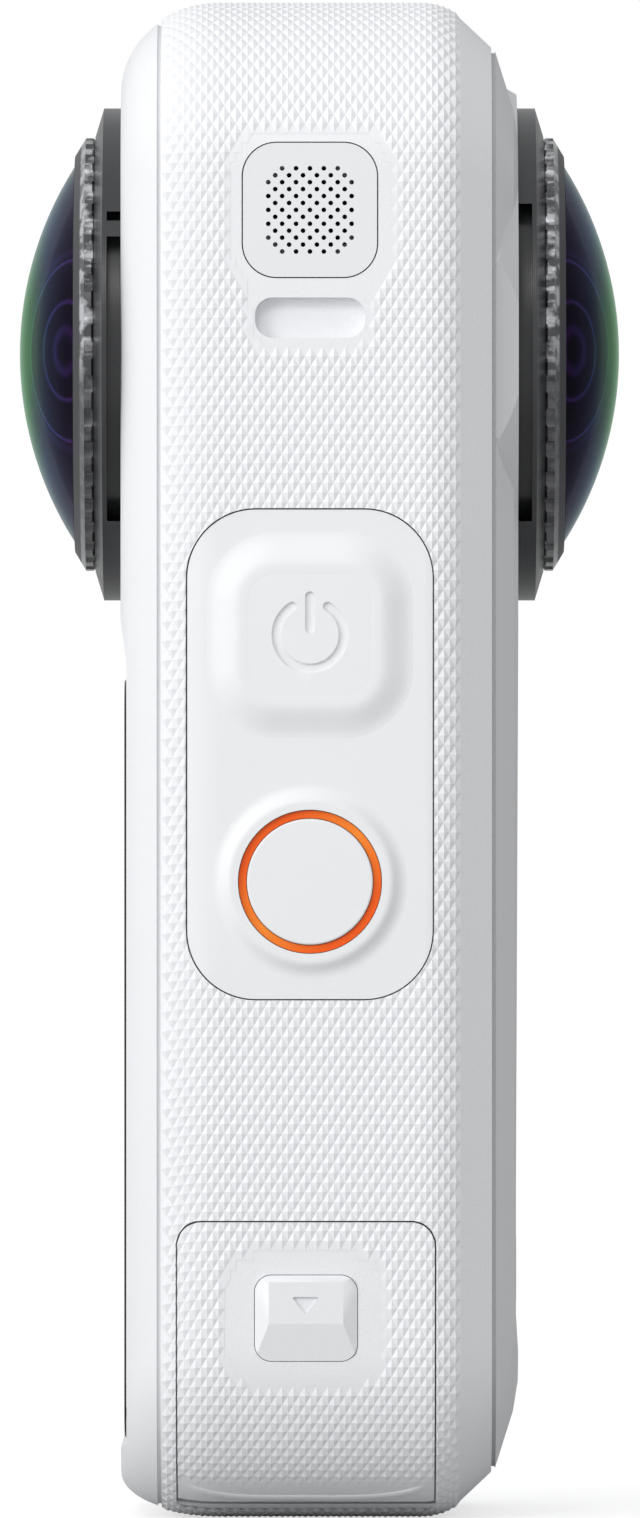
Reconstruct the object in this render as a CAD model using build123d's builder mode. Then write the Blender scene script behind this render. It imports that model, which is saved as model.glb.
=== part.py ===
from build123d import *
from math import cos, radians, sin, sqrt
import os

# Two-lens camera that records all round. Millimetres, +Z up.
# The origin is the mouth of the tripod socket. The buttons face -Y.
# The screen faces -X, and the battery goes in from +Y.

# Body
body_width = 45.8
body_height = 113.6
corner_radius = 12.6
face_x = 14.9
rear_seam_x = 12.15
front_seam_x = 13.2
seam_width = 0.3
seam_depth = 0.15
overrun = 1.0
fit_gap = 0.05
seam_gap = 0.1

# Rounding of the long edge on the screen side
rear_round_x = 7.6
rear_top_inset = 6.6
rear_side_inset = 6.2
rear_bottom_inset = 3.2
rear_round_shares = (0.0, 0.35, 0.64, 0.86, 0.97, 1.0)

# Rounding, plain strip and bevel on the other long edge
front_round_x = 7.9
strip_x = 10.6
strip_inset = 1.05
front_seam_inset = 3.5
bevel_x = 14.55
bevel_inset = 7.8
bevel_side_inset = 5.9
front_face_inset = 10.0
front_face_side_inset = 7.2
front_round_shares = (0.0, 0.5, 1.0)

# Lands on the two faces
screen_land_x = 14.45
chin_height = 5.2
chin_ease = 0.35
screen_land_margin = 1.1
screen_land_ease = 3.5
front_land_x = 14.72
front_chin_height = 12.4
front_chin_ease = 2.8
front_land_top = 24.0
front_land_ease = 42.0

# Walls and cavity
wall = 2.6
front_wall_start_x = 8.6
front_cavity_inset = 5.6
rear_cavity_x = 13.0
rear_cavity_inset = 5.0

# Lens axis and the round pad that carries each lens
lens_drop = 26.1
pad_radius = 19.7
pad_foot_radius = 20.5
pad_foot_x = 13.5

# Lens modules, radii about the lens axis and distances from the middle plane
base_radius = 18.64
base_flange_x = 16.3
base_top_radius = 16.5
base_top_x = 16.95
neck_radius = 17.2
neck_top_x = 15.95
neck_drop = 12.8
neck_rises = (11.0, 8.5)
slot_rise = 10.05
slot_height = 0.7
lip_bore_radius = 15.0
lip_thickness = 0.55
groove_radius = 15.95
groove_bottom_x = 15.35
skirt_radius = 14.9
skirt_bore_radius = 13.9
skirt_bottom_x = 15.45
lug_count = 3
lug_radius = 15.8
lug_width = 5.0
lug_thickness = 0.85
entry_width = 6.0
guard_twist = 35.0
guard_gap = 0.05
grip_radius = 16.4
grip_top_x = 17.66
grip_face_x = 18.5
grip_face_radius = 15.0
grip_chamfer = 0.12
scallop_count = 40
scallop_radius = 1.1
scallop_depth = 0.28
dome_radius = 26.35
dome_rim_radius = 14.2
dome_apex_x = 22.7
dome_thickness = 1.3
dome_seat_x = 17.3
dome_ledge_radius = 13.2
guard_underside_x = 16.6
seal_clearance = 0.05

barrel_radius = 13.6
barrel_top_x = 15.9
barrel_flange_radius = 17.4
barrel_flange_thickness = 0.9
barrel_neck_radius = 8.5
barrel_neck_x = 11.2
barrel_bore_radius = 6.2
barrel_end_x = 3.4
bore_gap = 0.1
baffle_count = 3
baffle_top_radius = 12.9
baffle_step = 0.7
baffle_pitch = 0.9

eye_radius = 13.6
eye_apex_x = 20.0
eye_rim_radius = 10.7
eye_hollow_radius = 8.2
eye_hollow_apex_x = 17.6

group_edge_places = (10.6, 7.8, 5.2)
group_edge_thickness = 1.2
group_crown = 0.7
sensor_width = 9.6
sensor_height = 7.2
sensor_thickness = 0.7
sensor_board_size = 18.0
sensor_board_thickness = 0.8
spreader_width = 22.0
spreader_height = 26.0

# Screen
glass_side_margin = 4.4
glass_drop = 50.7
glass_corner = 3.0
glass_bottom = 5.9
glass_thickness = 1.0
glass_face_x = 14.6
display_ledge = 1.8
display_thickness = 1.2
display_gap = 0.3

# Status window
window_width = 3.0
window_height = 5.65
window_z = 18.2
window_depth = 1.1
window_proud = 0.17

# Tripod socket, quarter inch camera thread, bored to its core
socket_core_radius = 2.55
socket_depth = 6.5
socket_mouth = 0.3
insert_radius = 4.8
insert_length = 8.0
insert_collar_radius = 5.6
insert_collar_height = 1.0
insert_boss_radius = 7.4
insert_boss_top = 9.6

# Centre line shared by what is on the button side
side_x = -0.71

# Button panel
panel_width = 18.3
panel_height_share = 0.32131
panel_corner = 5.1
panel_z_share = 0.50352
panel_thickness = 1.4
panel_pocket = 2.0
panel_rim = 1.2
press_travel = 0.35
stem_gap = 0.2
stem_radius = 1.5
power_place_share = 0.24384
power_base = 14.0
power_base_corner = 3.7
power_top = 10.2
power_top_corner = 2.6
power_rise = 0.8
power_edge = 3.0
record_edge = 0.15
record_place_share = 0.26027
record_radius = 4.7
ring_outer_radius = 5.375
ring_sink = 0.3
collar_radius = 6.9
collar_top_radius = 6.1
collar_rise = 0.6
collar_edge = 0.7
collar_foot = 1.2
key_board_thickness = 0.7
key_board_standoff = 0.7
key_board_margin = 2.2
switch_radius = 2.2
switch_base = 0.15
switch_cap_radius = 1.3
switch_height = 0.35
standoff_radius = 1.5

# Sound grille
grille_width = 10.0
grille_corner = 2.5
grille_drop = 15.8
grille_thickness = 1.2
grille_hole_radius = 0.18
grille_row_pitch = 0.517
grille_column_pitch = 1.036
grille_rows = (5, 6, 7, 6, 7, 6, 7, 6, 7, 6, 7, 6, 5)
grille_dish_depth = 0.7
grille_dish_radius = 4.1
sound_radius = 3.6
gasket_radius = 4.8
gasket_thickness = 0.6
speaker_size = 11.0
speaker_corner = 1.5
speaker_thickness = 3.4

# Notch under the grille
notch_width = 8.2
notch_height = 3.0
notch_corner = 1.3
notch_drop = 23.83
notch_depth = 1.1

# Port door, hinged at its lower edge
door_left_x = -10.7
door_right_x = 8.7
door_top = 22.4
door_corner = 1.8
door_skin = 1.6
door_edge_angle = 25.0
hinge_angle = 30.0
hinge_depth = 1.5
hinge_pin_radius = 0.5
hinge_pin_overhang = 0.9
knuckle_radius = 1.9
knuckle_relief = 2.1
hinge_block_radius = 2.7
plug_margin = 3.2
plug_bottom = 10.6
plug_top = 20.1
plug_corner = 1.5
plug_depth = 4.7
bay_margin = 2.4
bay_bottom = 8.0
bay_top = 21.0
bay_corner = 1.5
bay_depth = 5.6
bay_wall = 1.4
gasket_rim = 1.2
gasket_height = 0.7

# Latch button on the door, and the bolt that its wedge draws down
latch_width = 7.75
latch_height = 6.5
latch_corner = 1.3
latch_z = 15.15
latch_rise = 0.7
latch_facet = 3.1
latch_bevel = 1.1
latch_travel = 0.9
latch_inner = 0.6
bolt_travel = 1.2
bolt_width = 4.0
bolt_thickness = 1.1
bolt_depth = 2.0
bolt_foot = 13.2
bolt_gap = 0.1
wedge_width = 2.0
wedge_length = 1.0
wedge_height = 2.4
leaf_thickness = 0.2
leaf_width = 2.0
leaf_height = 2.2
leaf_reach = 1.0
strike_depth = 1.0

# Port behind the door
port_z = 14.0
port_height = 8.94
port_width = 3.26
port_length = 7.0
port_shell = 0.3
port_tongue_thickness = 0.7
port_tongue_margin = 1.1
port_board_thickness = 0.8
port_board_length = 8.0
port_board_margin = 2.4

# Battery, in a tray that opens on the hidden side
battery_thickness = 14.6
battery_bottom = 22.5
battery_drop = 47.1
battery_x = -0.5
battery_inner_y = -8.0
battery_corner = 1.6
tray_wall = 0.8
tray_gap = 0.2
cover_margin_x = 2.0
cover_margin_z = 2.3
cover_corner = 2.6
cover_thickness = 1.5
cover_recess = 1.9
battery_seal_width = 0.8
catch_width = 8.0
catch_height = 4.6
catch_corner = 1.2
catch_drop = 5.9
catch_travel = 1.5
catch_recess = 0.9
catch_bolt_width = 3.0
catch_ridge_count = 3
catch_ridge = 0.3
contact_count = 4
contact_pitch = 2.6
contact_width = 1.4
contact_height = 3.0
contact_thickness = 0.2
contact_housing_depth = 1.0
contact_margin = 1.0

# Main board and what stands on it
board_x = 10.1
board_thickness = 1.0
board_side_margin = 3.4
board_bottom = 6.2
board_drop = 23.6
board_corner = 9.2
board_lens_gap = 1.2
screw_post_margin = 4.9
screw_post_radius = 2.5
screw_post_length = 4.6
upper_screw_drop = 34.1
lower_screw_heights = (30.0, 16.0)
screw_radius = 0.7
screw_head_radius = 1.4
screw_head_height = 0.8
screw_length = 5.2
shield_width = 22.0
shield_height = 17.0
shield_y = 2.0
shield_drop = 36.0
shield_thickness = 1.0
card_width = 14.0
card_height = 15.0
card_y = 8.0
card_z = 32.0
card_thickness = 1.0
card_slot = 0.6

# Places worked out from the sizes above
half_width = body_width / 2
lens_z = body_height - lens_drop
grille_z = body_height - grille_drop
notch_z = body_height - notch_drop
panel_height = body_height * panel_height_share
panel_z = body_height * panel_z_share
power_z = panel_z + panel_height * power_place_share
record_z = panel_z - panel_height * record_place_share
glass_width = body_width - 2 * glass_side_margin
glass_height = body_height - glass_drop - glass_bottom
screen_land_top = glass_bottom + glass_height + screen_land_margin
battery_height = body_height - battery_drop - battery_bottom
battery_z = battery_bottom + battery_height / 2
catch_z = battery_bottom + battery_height - catch_drop
board_width = body_width - 2 * board_side_margin
board_top = body_height - board_drop
shield_z = board_top - shield_drop
upper_screw_z = body_height - upper_screw_drop
lower_screw_z, far_screw_z = lower_screw_heights
screw_places = ((-1, lower_screw_z), (-1, upper_screw_z), (1, far_screw_z), (1, upper_screw_z))
screw_post_y = half_width - screw_post_margin
inner_y = half_width - wall
knuckle_reach = corner_radius - hinge_depth
corner_y = half_width - corner_radius
hinge_y = -corner_y - knuckle_reach * sin(radians(hinge_angle))
hinge_z = corner_radius - knuckle_reach * cos(radians(hinge_angle))
lens_axis = Axis((0, 0, lens_z), (1, 0, 0))
button_side = Plane.XZ.offset(half_width)
door_middle_x = (door_left_x + door_right_x) / 2
door_width = door_right_x - door_left_x
plug_middle_z = (plug_bottom + plug_top) / 2
bay_middle_z = (bay_bottom + bay_top) / 2
latch_x = door_middle_x
glass_z = glass_bottom + glass_height / 2
cover_width = battery_thickness + 2 * cover_margin_x
cover_height = battery_height + 2 * cover_margin_z
battery_outer_y = half_width - cover_thickness

os.makedirs("parts", exist_ok=True)


def finish(piece, name):
    piece.part.label = name
    export_step(piece.part, f"parts/{name}.step")


def outline(x, top, side, bottom):
    # Rounded outline of the body at x, drawn in from its top, sides and bottom.
    with BuildSketch(Plane.YZ.offset(x)) as section:
        with Locations((0, (body_height + bottom - top) / 2)):
            RectangleRounded(body_width - 2 * side, body_height - top - bottom, corner_radius - side)
    return section.sketch


def round_share(share):
    # Height of a quarter circle above its chord end, as a share of its radius.
    return 1 - sqrt(1 - share**2)


def ball_x(radius, apex_x, distance):
    # Place along the lens axis of a sphere's surface at this distance from the axis.
    return apex_x - radius + sqrt(radius**2 - distance**2)


# Round pad under the front lens, kept within the shell's own sides
with BuildPart() as lens_pad:
    with BuildSketch(Plane.XZ):
        with BuildLine():
            Polyline(
                (front_seam_x, lens_z),
                (front_seam_x, lens_z + pad_foot_radius),
                (pad_foot_x, lens_z + pad_foot_radius),
                (face_x, lens_z + pad_radius),
                (face_x, lens_z),
                close=True,
            )
        make_face()
    revolve(axis=lens_axis)
    pad_limit = outline(front_seam_x, front_seam_inset, front_seam_inset, front_seam_inset)
    extrude(pad_limit, amount=face_x, mode=Mode.INTERSECT)

# Outer form of the whole body, from which the shells and all side pieces take their faces
with BuildPart() as body_form:
    extrude(outline(-rear_round_x, 0, 0, 0), amount=rear_round_x + front_round_x)
    rear_sections = []
    for share in rear_round_shares:
        drop = round_share(share)
        section_x = -rear_round_x - share * (face_x - rear_round_x)
        rear_sections.append(
            outline(section_x, drop * rear_top_inset, drop * rear_side_inset, drop * rear_bottom_inset)
        )
    loft(rear_sections)
    front_sections = []
    for share in front_round_shares:
        drop = share**2 * strip_inset
        front_sections.append(outline(front_round_x + share * (strip_x - front_round_x), drop, drop, drop))
    loft(front_sections)
    strip_end = outline(front_seam_x, front_seam_inset, front_seam_inset, front_seam_inset)
    loft([outline(strip_x, strip_inset, strip_inset, strip_inset), strip_end], ruled=True)
    bevel_end = outline(bevel_x, bevel_inset, bevel_side_inset, bevel_inset)
    loft([strip_end, bevel_end], ruled=True)
    loft([bevel_end, outline(face_x, front_face_inset, front_face_side_inset, front_face_inset)], ruled=True)
    add(lens_pad.part)
    # Land round the screen, and the slight taper of the front face down to its chin
    with BuildSketch(Plane.XZ):
        with BuildLine():
            Polyline(
                (-face_x - overrun, chin_height),
                (-face_x, chin_height),
                (-screen_land_x, chin_height + chin_ease),
                (-screen_land_x, screen_land_top),
                (-face_x, screen_land_top + screen_land_ease),
                (-face_x - overrun, screen_land_top + screen_land_ease),
                close=True,
            )
        make_face()
    extrude(amount=half_width + overrun, both=True, mode=Mode.SUBTRACT)
    with BuildSketch(Plane.XZ):
        with BuildLine():
            Polyline(
                (face_x + overrun, front_chin_height),
                (face_x, front_chin_height),
                (front_land_x, front_chin_height + front_chin_ease),
                (front_land_x, front_land_top),
                (face_x, front_land_top + front_land_ease),
                (face_x + overrun, front_land_top + front_land_ease),
                close=True,
            )
        make_face()
    extrude(amount=half_width + overrun, both=True, mode=Mode.SUBTRACT)

# Form of the door, seen from the button side, and of the space under its skin
with BuildPart() as door_prism:
    with BuildSketch(button_side.offset(overrun)):
        with BuildLine():
            FilletPolyline(
                (door_left_x, -overrun),
                (door_left_x, door_top),
                (door_right_x, door_top),
                (door_right_x, -overrun),
                radius=door_corner,
            )
            Line((door_right_x, -overrun), (door_left_x, -overrun))
        make_face()
    extrude(amount=-(corner_radius + overrun))
    with BuildSketch(Plane.YZ.offset(door_left_x - overrun)):
        # Everything on the base side of a plane through the corner's centre line is kept off
        edge_y = corner_radius * sin(radians(door_edge_angle)) * 2
        edge_z = corner_radius * cos(radians(door_edge_angle)) * 2
        with BuildLine():
            Polyline(
                (-corner_y, corner_radius),
                (-corner_y - edge_y, corner_radius - edge_z),
                (corner_y, corner_radius - edge_z),
                (corner_y, corner_radius),
                close=True,
            )
        make_face()
    extrude(amount=door_width + 2 * overrun, mode=Mode.SUBTRACT)


def under_skin(depth, left_x, right_x):
    # Solid core of the body that lies this deep under its flat side and bottom corner.
    with BuildPart() as core:
        extrude(outline(left_x, depth, depth, depth), amount=right_x - left_x)
    return core.part


def hinge_cylinder(radius, left_x, right_x):
    # Cylinder about the hinge axis, between two places along it.
    with BuildPart() as cylinder:
        with BuildSketch(Plane.YZ.offset(left_x)):
            with Locations((hinge_y, hinge_z)):
                Circle(radius)
        extrude(amount=right_x - left_x)
    return cylinder.part


def seam_groove(x, insets, length):
    # Frame round the body from this place on, open inside an outline drawn in by these insets.
    with BuildPart() as groove:
        with BuildSketch(Plane.YZ.offset(x)):
            Rectangle(2 * body_width, 4 * body_height)
        extrude(amount=length)
        extrude(outline(x, *insets), amount=length, mode=Mode.SUBTRACT)
    return groove.part


# Space inside the band, which leaves the posts, the socket boss and the port bay standing
with BuildPart() as band_cavity:
    cavity_length = front_wall_start_x + rear_seam_x + overrun
    extrude(outline(-rear_seam_x - overrun, wall, wall, wall), amount=cavity_length)
    loft(
        [
            outline(front_wall_start_x, wall, wall, wall),
            outline(front_seam_x, front_cavity_inset, front_cavity_inset, front_cavity_inset),
        ],
        ruled=True,
    )
    # Boss of the tripod socket
    with BuildSketch(Plane.XY):
        Circle(insert_boss_radius)
    extrude(amount=insert_boss_top, mode=Mode.SUBTRACT)
    # Screw posts of the main board
    for post_side, post_z in screw_places:
        with BuildSketch(Plane.YZ.offset(-board_x)):
            with Locations((post_side * screw_post_y, post_z)):
                Circle(screw_post_radius)
        extrude(amount=screw_post_length, mode=Mode.SUBTRACT)
    # Walls of the port bay
    with BuildSketch(button_side):
        with Locations((door_middle_x, bay_middle_z)):
            RectangleRounded(
                door_width - 2 * (bay_margin - bay_wall),
                bay_top - bay_bottom + 2 * bay_wall,
                bay_corner,
            )
    extrude(amount=-(bay_depth + bay_wall), mode=Mode.SUBTRACT)
    # Blocks that hold the ends of the hinge pin
    add(hinge_cylinder(hinge_block_radius, -rear_seam_x - overrun, front_seam_x), mode=Mode.SUBTRACT)
    # Standoffs of the key board
    with BuildSketch(button_side.offset(-wall)):
        half_panel = panel_height / 2
        with Locations((side_x, panel_z - half_panel), (side_x, panel_z), (side_x, panel_z + half_panel)):
            Circle(standoff_radius)
    extrude(amount=-key_board_standoff, mode=Mode.SUBTRACT)

# Recess that the door's skin lies in
with BuildPart() as door_recess:
    add(door_prism.part)
    add(under_skin(door_skin + seam_gap, door_left_x - overrun, door_right_x + overrun), mode=Mode.SUBTRACT)

# Middle band, the knurled frame that runs all round
with BuildPart() as mid_band:
    add(body_form.part)
    split(bisect_by=Plane.YZ.offset(-rear_seam_x), keep=Keep.TOP)
    split(bisect_by=Plane.YZ.offset(front_seam_x), keep=Keep.BOTTOM)
    add(band_cavity.part, mode=Mode.SUBTRACT)
    # Shadow groove at each seam
    rear_share = (rear_seam_x - rear_round_x) / (face_x - rear_round_x)
    rear_drop = round_share(rear_share)
    rear_groove_insets = (
        rear_drop * rear_top_inset + seam_depth,
        rear_drop * rear_side_inset + seam_depth,
        rear_drop * rear_bottom_inset + seam_depth,
    )
    add(seam_groove(-rear_seam_x, rear_groove_insets, seam_width), mode=Mode.SUBTRACT)
    front_groove_inset = front_seam_inset + seam_depth
    front_groove_insets = (front_groove_inset, front_groove_inset, front_groove_inset)
    add(seam_groove(front_seam_x, front_groove_insets, -seam_width), mode=Mode.SUBTRACT)
    # Tripod socket's seat
    with BuildSketch(Plane.XY):
        Circle(insert_radius)
    extrude(amount=insert_length, mode=Mode.SUBTRACT)
    with BuildSketch(Plane.XY):
        Circle(insert_collar_radius)
    extrude(amount=insert_collar_height, mode=Mode.SUBTRACT)
    # Screw holes in the posts
    for post_side, post_z in screw_places:
        with BuildSketch(Plane.YZ.offset(-board_x)):
            with Locations((post_side * screw_post_y, post_z)):
                Circle(screw_radius + fit_gap)
        extrude(amount=screw_length - board_thickness + fit_gap, mode=Mode.SUBTRACT)
    # Pocket of the button panel, and the holes of its stems
    with BuildSketch(button_side.offset(overrun)):
        with Locations((side_x, panel_z)):
            RectangleRounded(panel_width + 2 * seam_gap, panel_height + 2 * seam_gap, panel_corner + seam_gap)
    extrude(amount=-(overrun + panel_pocket), mode=Mode.SUBTRACT)
    with BuildSketch(button_side):
        with Locations((side_x, power_z), (side_x, record_z)):
            Circle(stem_radius + stem_gap)
    extrude(amount=-(wall + overrun), mode=Mode.SUBTRACT)
    # Pocket of the sound grille and its way through the wall
    with BuildSketch(button_side.offset(overrun)):
        with Locations((side_x, grille_z)):
            RectangleRounded(grille_width + 2 * seam_gap, grille_width + 2 * seam_gap, grille_corner + seam_gap)
    extrude(amount=-(overrun + grille_thickness), mode=Mode.SUBTRACT)
    with BuildSketch(button_side):
        with Locations((side_x, grille_z)):
            Circle(sound_radius)
    extrude(amount=-(wall + overrun), mode=Mode.SUBTRACT)
    with BuildSketch(button_side.offset(-wall)):
        with Locations((side_x, grille_z)):
            RectangleRounded(speaker_size + seam_gap, speaker_size + seam_gap, speaker_corner)
    extrude(amount=-(gasket_thickness + speaker_thickness), mode=Mode.SUBTRACT)
    # Notch under the sound grille
    with BuildSketch(button_side.offset(overrun)):
        with Locations((side_x, notch_z)):
            RectangleRounded(notch_width, notch_height, notch_corner)
    extrude(amount=-(overrun + notch_depth), mode=Mode.SUBTRACT)
    # Recess of the door, its bay, the knuckle's relief, the pin's holes and the bolt's slot
    add(door_recess.part, mode=Mode.SUBTRACT)
    add(hinge_cylinder(knuckle_relief, door_left_x, door_right_x), mode=Mode.SUBTRACT)
    pin_left_x = door_left_x - hinge_pin_overhang
    pin_right_x = door_right_x + hinge_pin_overhang
    add(hinge_cylinder(hinge_pin_radius, pin_left_x, pin_right_x), mode=Mode.SUBTRACT)
    with BuildSketch(button_side):
        with Locations((door_middle_x, bay_middle_z)):
            RectangleRounded(door_width - 2 * bay_margin, bay_top - bay_bottom, bay_corner)
    extrude(amount=-bay_depth, mode=Mode.SUBTRACT)
    with BuildSketch(button_side.offset(-bolt_depth + bolt_gap)):
        with Locations((latch_x, bay_top)):
            Rectangle(bolt_width + 4 * bolt_gap, 2 * strike_depth)
    extrude(amount=-(bolt_thickness + 2 * bolt_gap), mode=Mode.SUBTRACT)
    with BuildSketch(button_side.offset(-bay_depth)):
        with Locations((door_middle_x, port_z)):
            RectangleRounded(port_width + 2 * fit_gap, port_height + 2 * fit_gap, port_width / 2)
    extrude(amount=-(bay_wall + overrun), mode=Mode.SUBTRACT)
    # Opening of the battery, with a ledge for its cover
    with BuildSketch(Plane.XZ.offset(-half_width - overrun)):
        with Locations((battery_x, battery_z)):
            RectangleRounded(cover_width + 2 * seam_gap, cover_height + 2 * seam_gap, cover_corner + seam_gap)
    extrude(amount=overrun + cover_recess, mode=Mode.SUBTRACT)
    with BuildSketch(Plane.XZ.offset(-half_width)):
        with Locations((battery_x, battery_z)):
            RectangleRounded(battery_thickness + 2 * tray_gap, battery_height + 2 * tray_gap, battery_corner)
    extrude(amount=wall + overrun, mode=Mode.SUBTRACT)
finish(mid_band, "mid_band")

# Shell on the screen side
with BuildPart() as back_shell:
    add(body_form.part)
    split(bisect_by=Plane.YZ.offset(-rear_seam_x), keep=Keep.BOTTOM)
    cavity_outline = outline(-rear_seam_x, rear_cavity_inset, rear_cavity_inset, rear_cavity_inset)
    extrude(cavity_outline, amount=-(rear_cavity_x - rear_seam_x), mode=Mode.SUBTRACT)
    with BuildSketch(Plane.YZ.offset(-face_x - overrun)):
        with Locations((0, lens_z)):
            Circle(barrel_radius + bore_gap)
    extrude(amount=face_x, mode=Mode.SUBTRACT)
    with BuildSketch(Plane.YZ.offset(-face_x - overrun)):
        with Locations((0, glass_z)):
            RectangleRounded(glass_width + 2 * seam_gap, glass_height + 2 * seam_gap, glass_corner + seam_gap)
    extrude(amount=overrun + face_x - glass_face_x + glass_thickness, mode=Mode.SUBTRACT)
    with BuildSketch(Plane.YZ.offset(-face_x)):
        with Locations((0, glass_z)):
            RectangleRounded(glass_width - 2 * display_ledge, glass_height - 2 * display_ledge, glass_corner)
    extrude(amount=face_x, mode=Mode.SUBTRACT)
finish(back_shell, "back_shell")

# Shell on the other lens side
with BuildPart() as front_shell:
    add(body_form.part)
    split(bisect_by=Plane.YZ.offset(front_seam_x), keep=Keep.TOP)
    with BuildSketch(Plane.YZ):
        with Locations((0, lens_z)):
            Circle(barrel_radius + bore_gap)
    extrude(amount=face_x + overrun, mode=Mode.SUBTRACT)
    with BuildSketch(Plane.YZ.offset(front_land_x + overrun)):
        with Locations((0, window_z)):
            SlotOverall(window_height, window_width, rotation=90)
    extrude(amount=-(window_depth + overrun), mode=Mode.SUBTRACT)
finish(front_shell, "front_shell")

# Status window
with BuildPart() as status_window:
    with BuildSketch(Plane.YZ.offset(front_land_x - window_depth)):
        with Locations((0, window_z)):
            SlotOverall(window_height - 2 * fit_gap, window_width - 2 * fit_gap, rotation=90)
    extrude(amount=window_depth + window_proud)
    fillet(status_window.faces().sort_by(Axis.X)[-1].edges(), window_proud)
finish(status_window, "status_window")

# Glass of the screen, and the display under it
with BuildPart() as screen_glass:
    with BuildSketch(Plane.YZ.offset(-glass_face_x)):
        with Locations((0, glass_z)):
            RectangleRounded(glass_width, glass_height, glass_corner)
    extrude(amount=glass_thickness)
    chamfer(screen_glass.faces().sort_by(Axis.X)[0].edges(), glass_thickness / 5)
finish(screen_glass, "screen_glass")

with BuildPart() as display_panel:
    display_inset = display_ledge + display_gap
    with BuildSketch(Plane.YZ.offset(-glass_face_x + glass_thickness)):
        with Locations((0, glass_z)):
            RectangleRounded(glass_width - 2 * display_inset, glass_height - 2 * display_inset, glass_corner)
    extrude(amount=display_thickness)
finish(display_panel, "display_panel")

# Metal insert of the tripod socket
with BuildPart() as tripod_insert:
    with BuildSketch(Plane.XY):
        Circle(insert_radius)
    extrude(amount=insert_length)
    with BuildSketch(Plane.XY):
        Circle(insert_collar_radius)
    extrude(amount=insert_collar_height)
    with BuildSketch(Plane.XY):
        Circle(socket_core_radius)
    extrude(amount=socket_depth, mode=Mode.SUBTRACT)
    mouth_edges = tripod_insert.edges().filter_by(GeomType.CIRCLE).group_by(Axis.Z)[0]
    chamfer(mouth_edges.sort_by(SortBy.RADIUS)[0], socket_mouth)
finish(tripod_insert, "tripod_insert")

# Screws of the main board
with BuildPart() as chassis_screws:
    for post_side, post_z in screw_places:
        with BuildSketch(Plane.YZ.offset(-board_x - board_thickness)):
            with Locations((post_side * screw_post_y, post_z)):
                Circle(screw_radius)
        extrude(amount=screw_length)
        with BuildSketch(Plane.YZ.offset(-board_x - board_thickness)):
            with Locations((post_side * screw_post_y, post_z)):
                Circle(screw_head_radius)
        extrude(amount=-screw_head_height)
finish(chassis_screws, "chassis_screws")


def lens_profile(side):
    # Plane through the lens axis: first coordinate outward, second one away from the axis.
    return Plane(origin=(0, 0, lens_z), x_dir=(side, 0, 0), z_dir=(0, -side, 0))


def lens_face(side, x):
    # Plane square to the lens axis at this distance outward, facing outward.
    return Plane(origin=(side * x, 0, lens_z), x_dir=(0, 0, 1), z_dir=(side, 0, 0))


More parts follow.
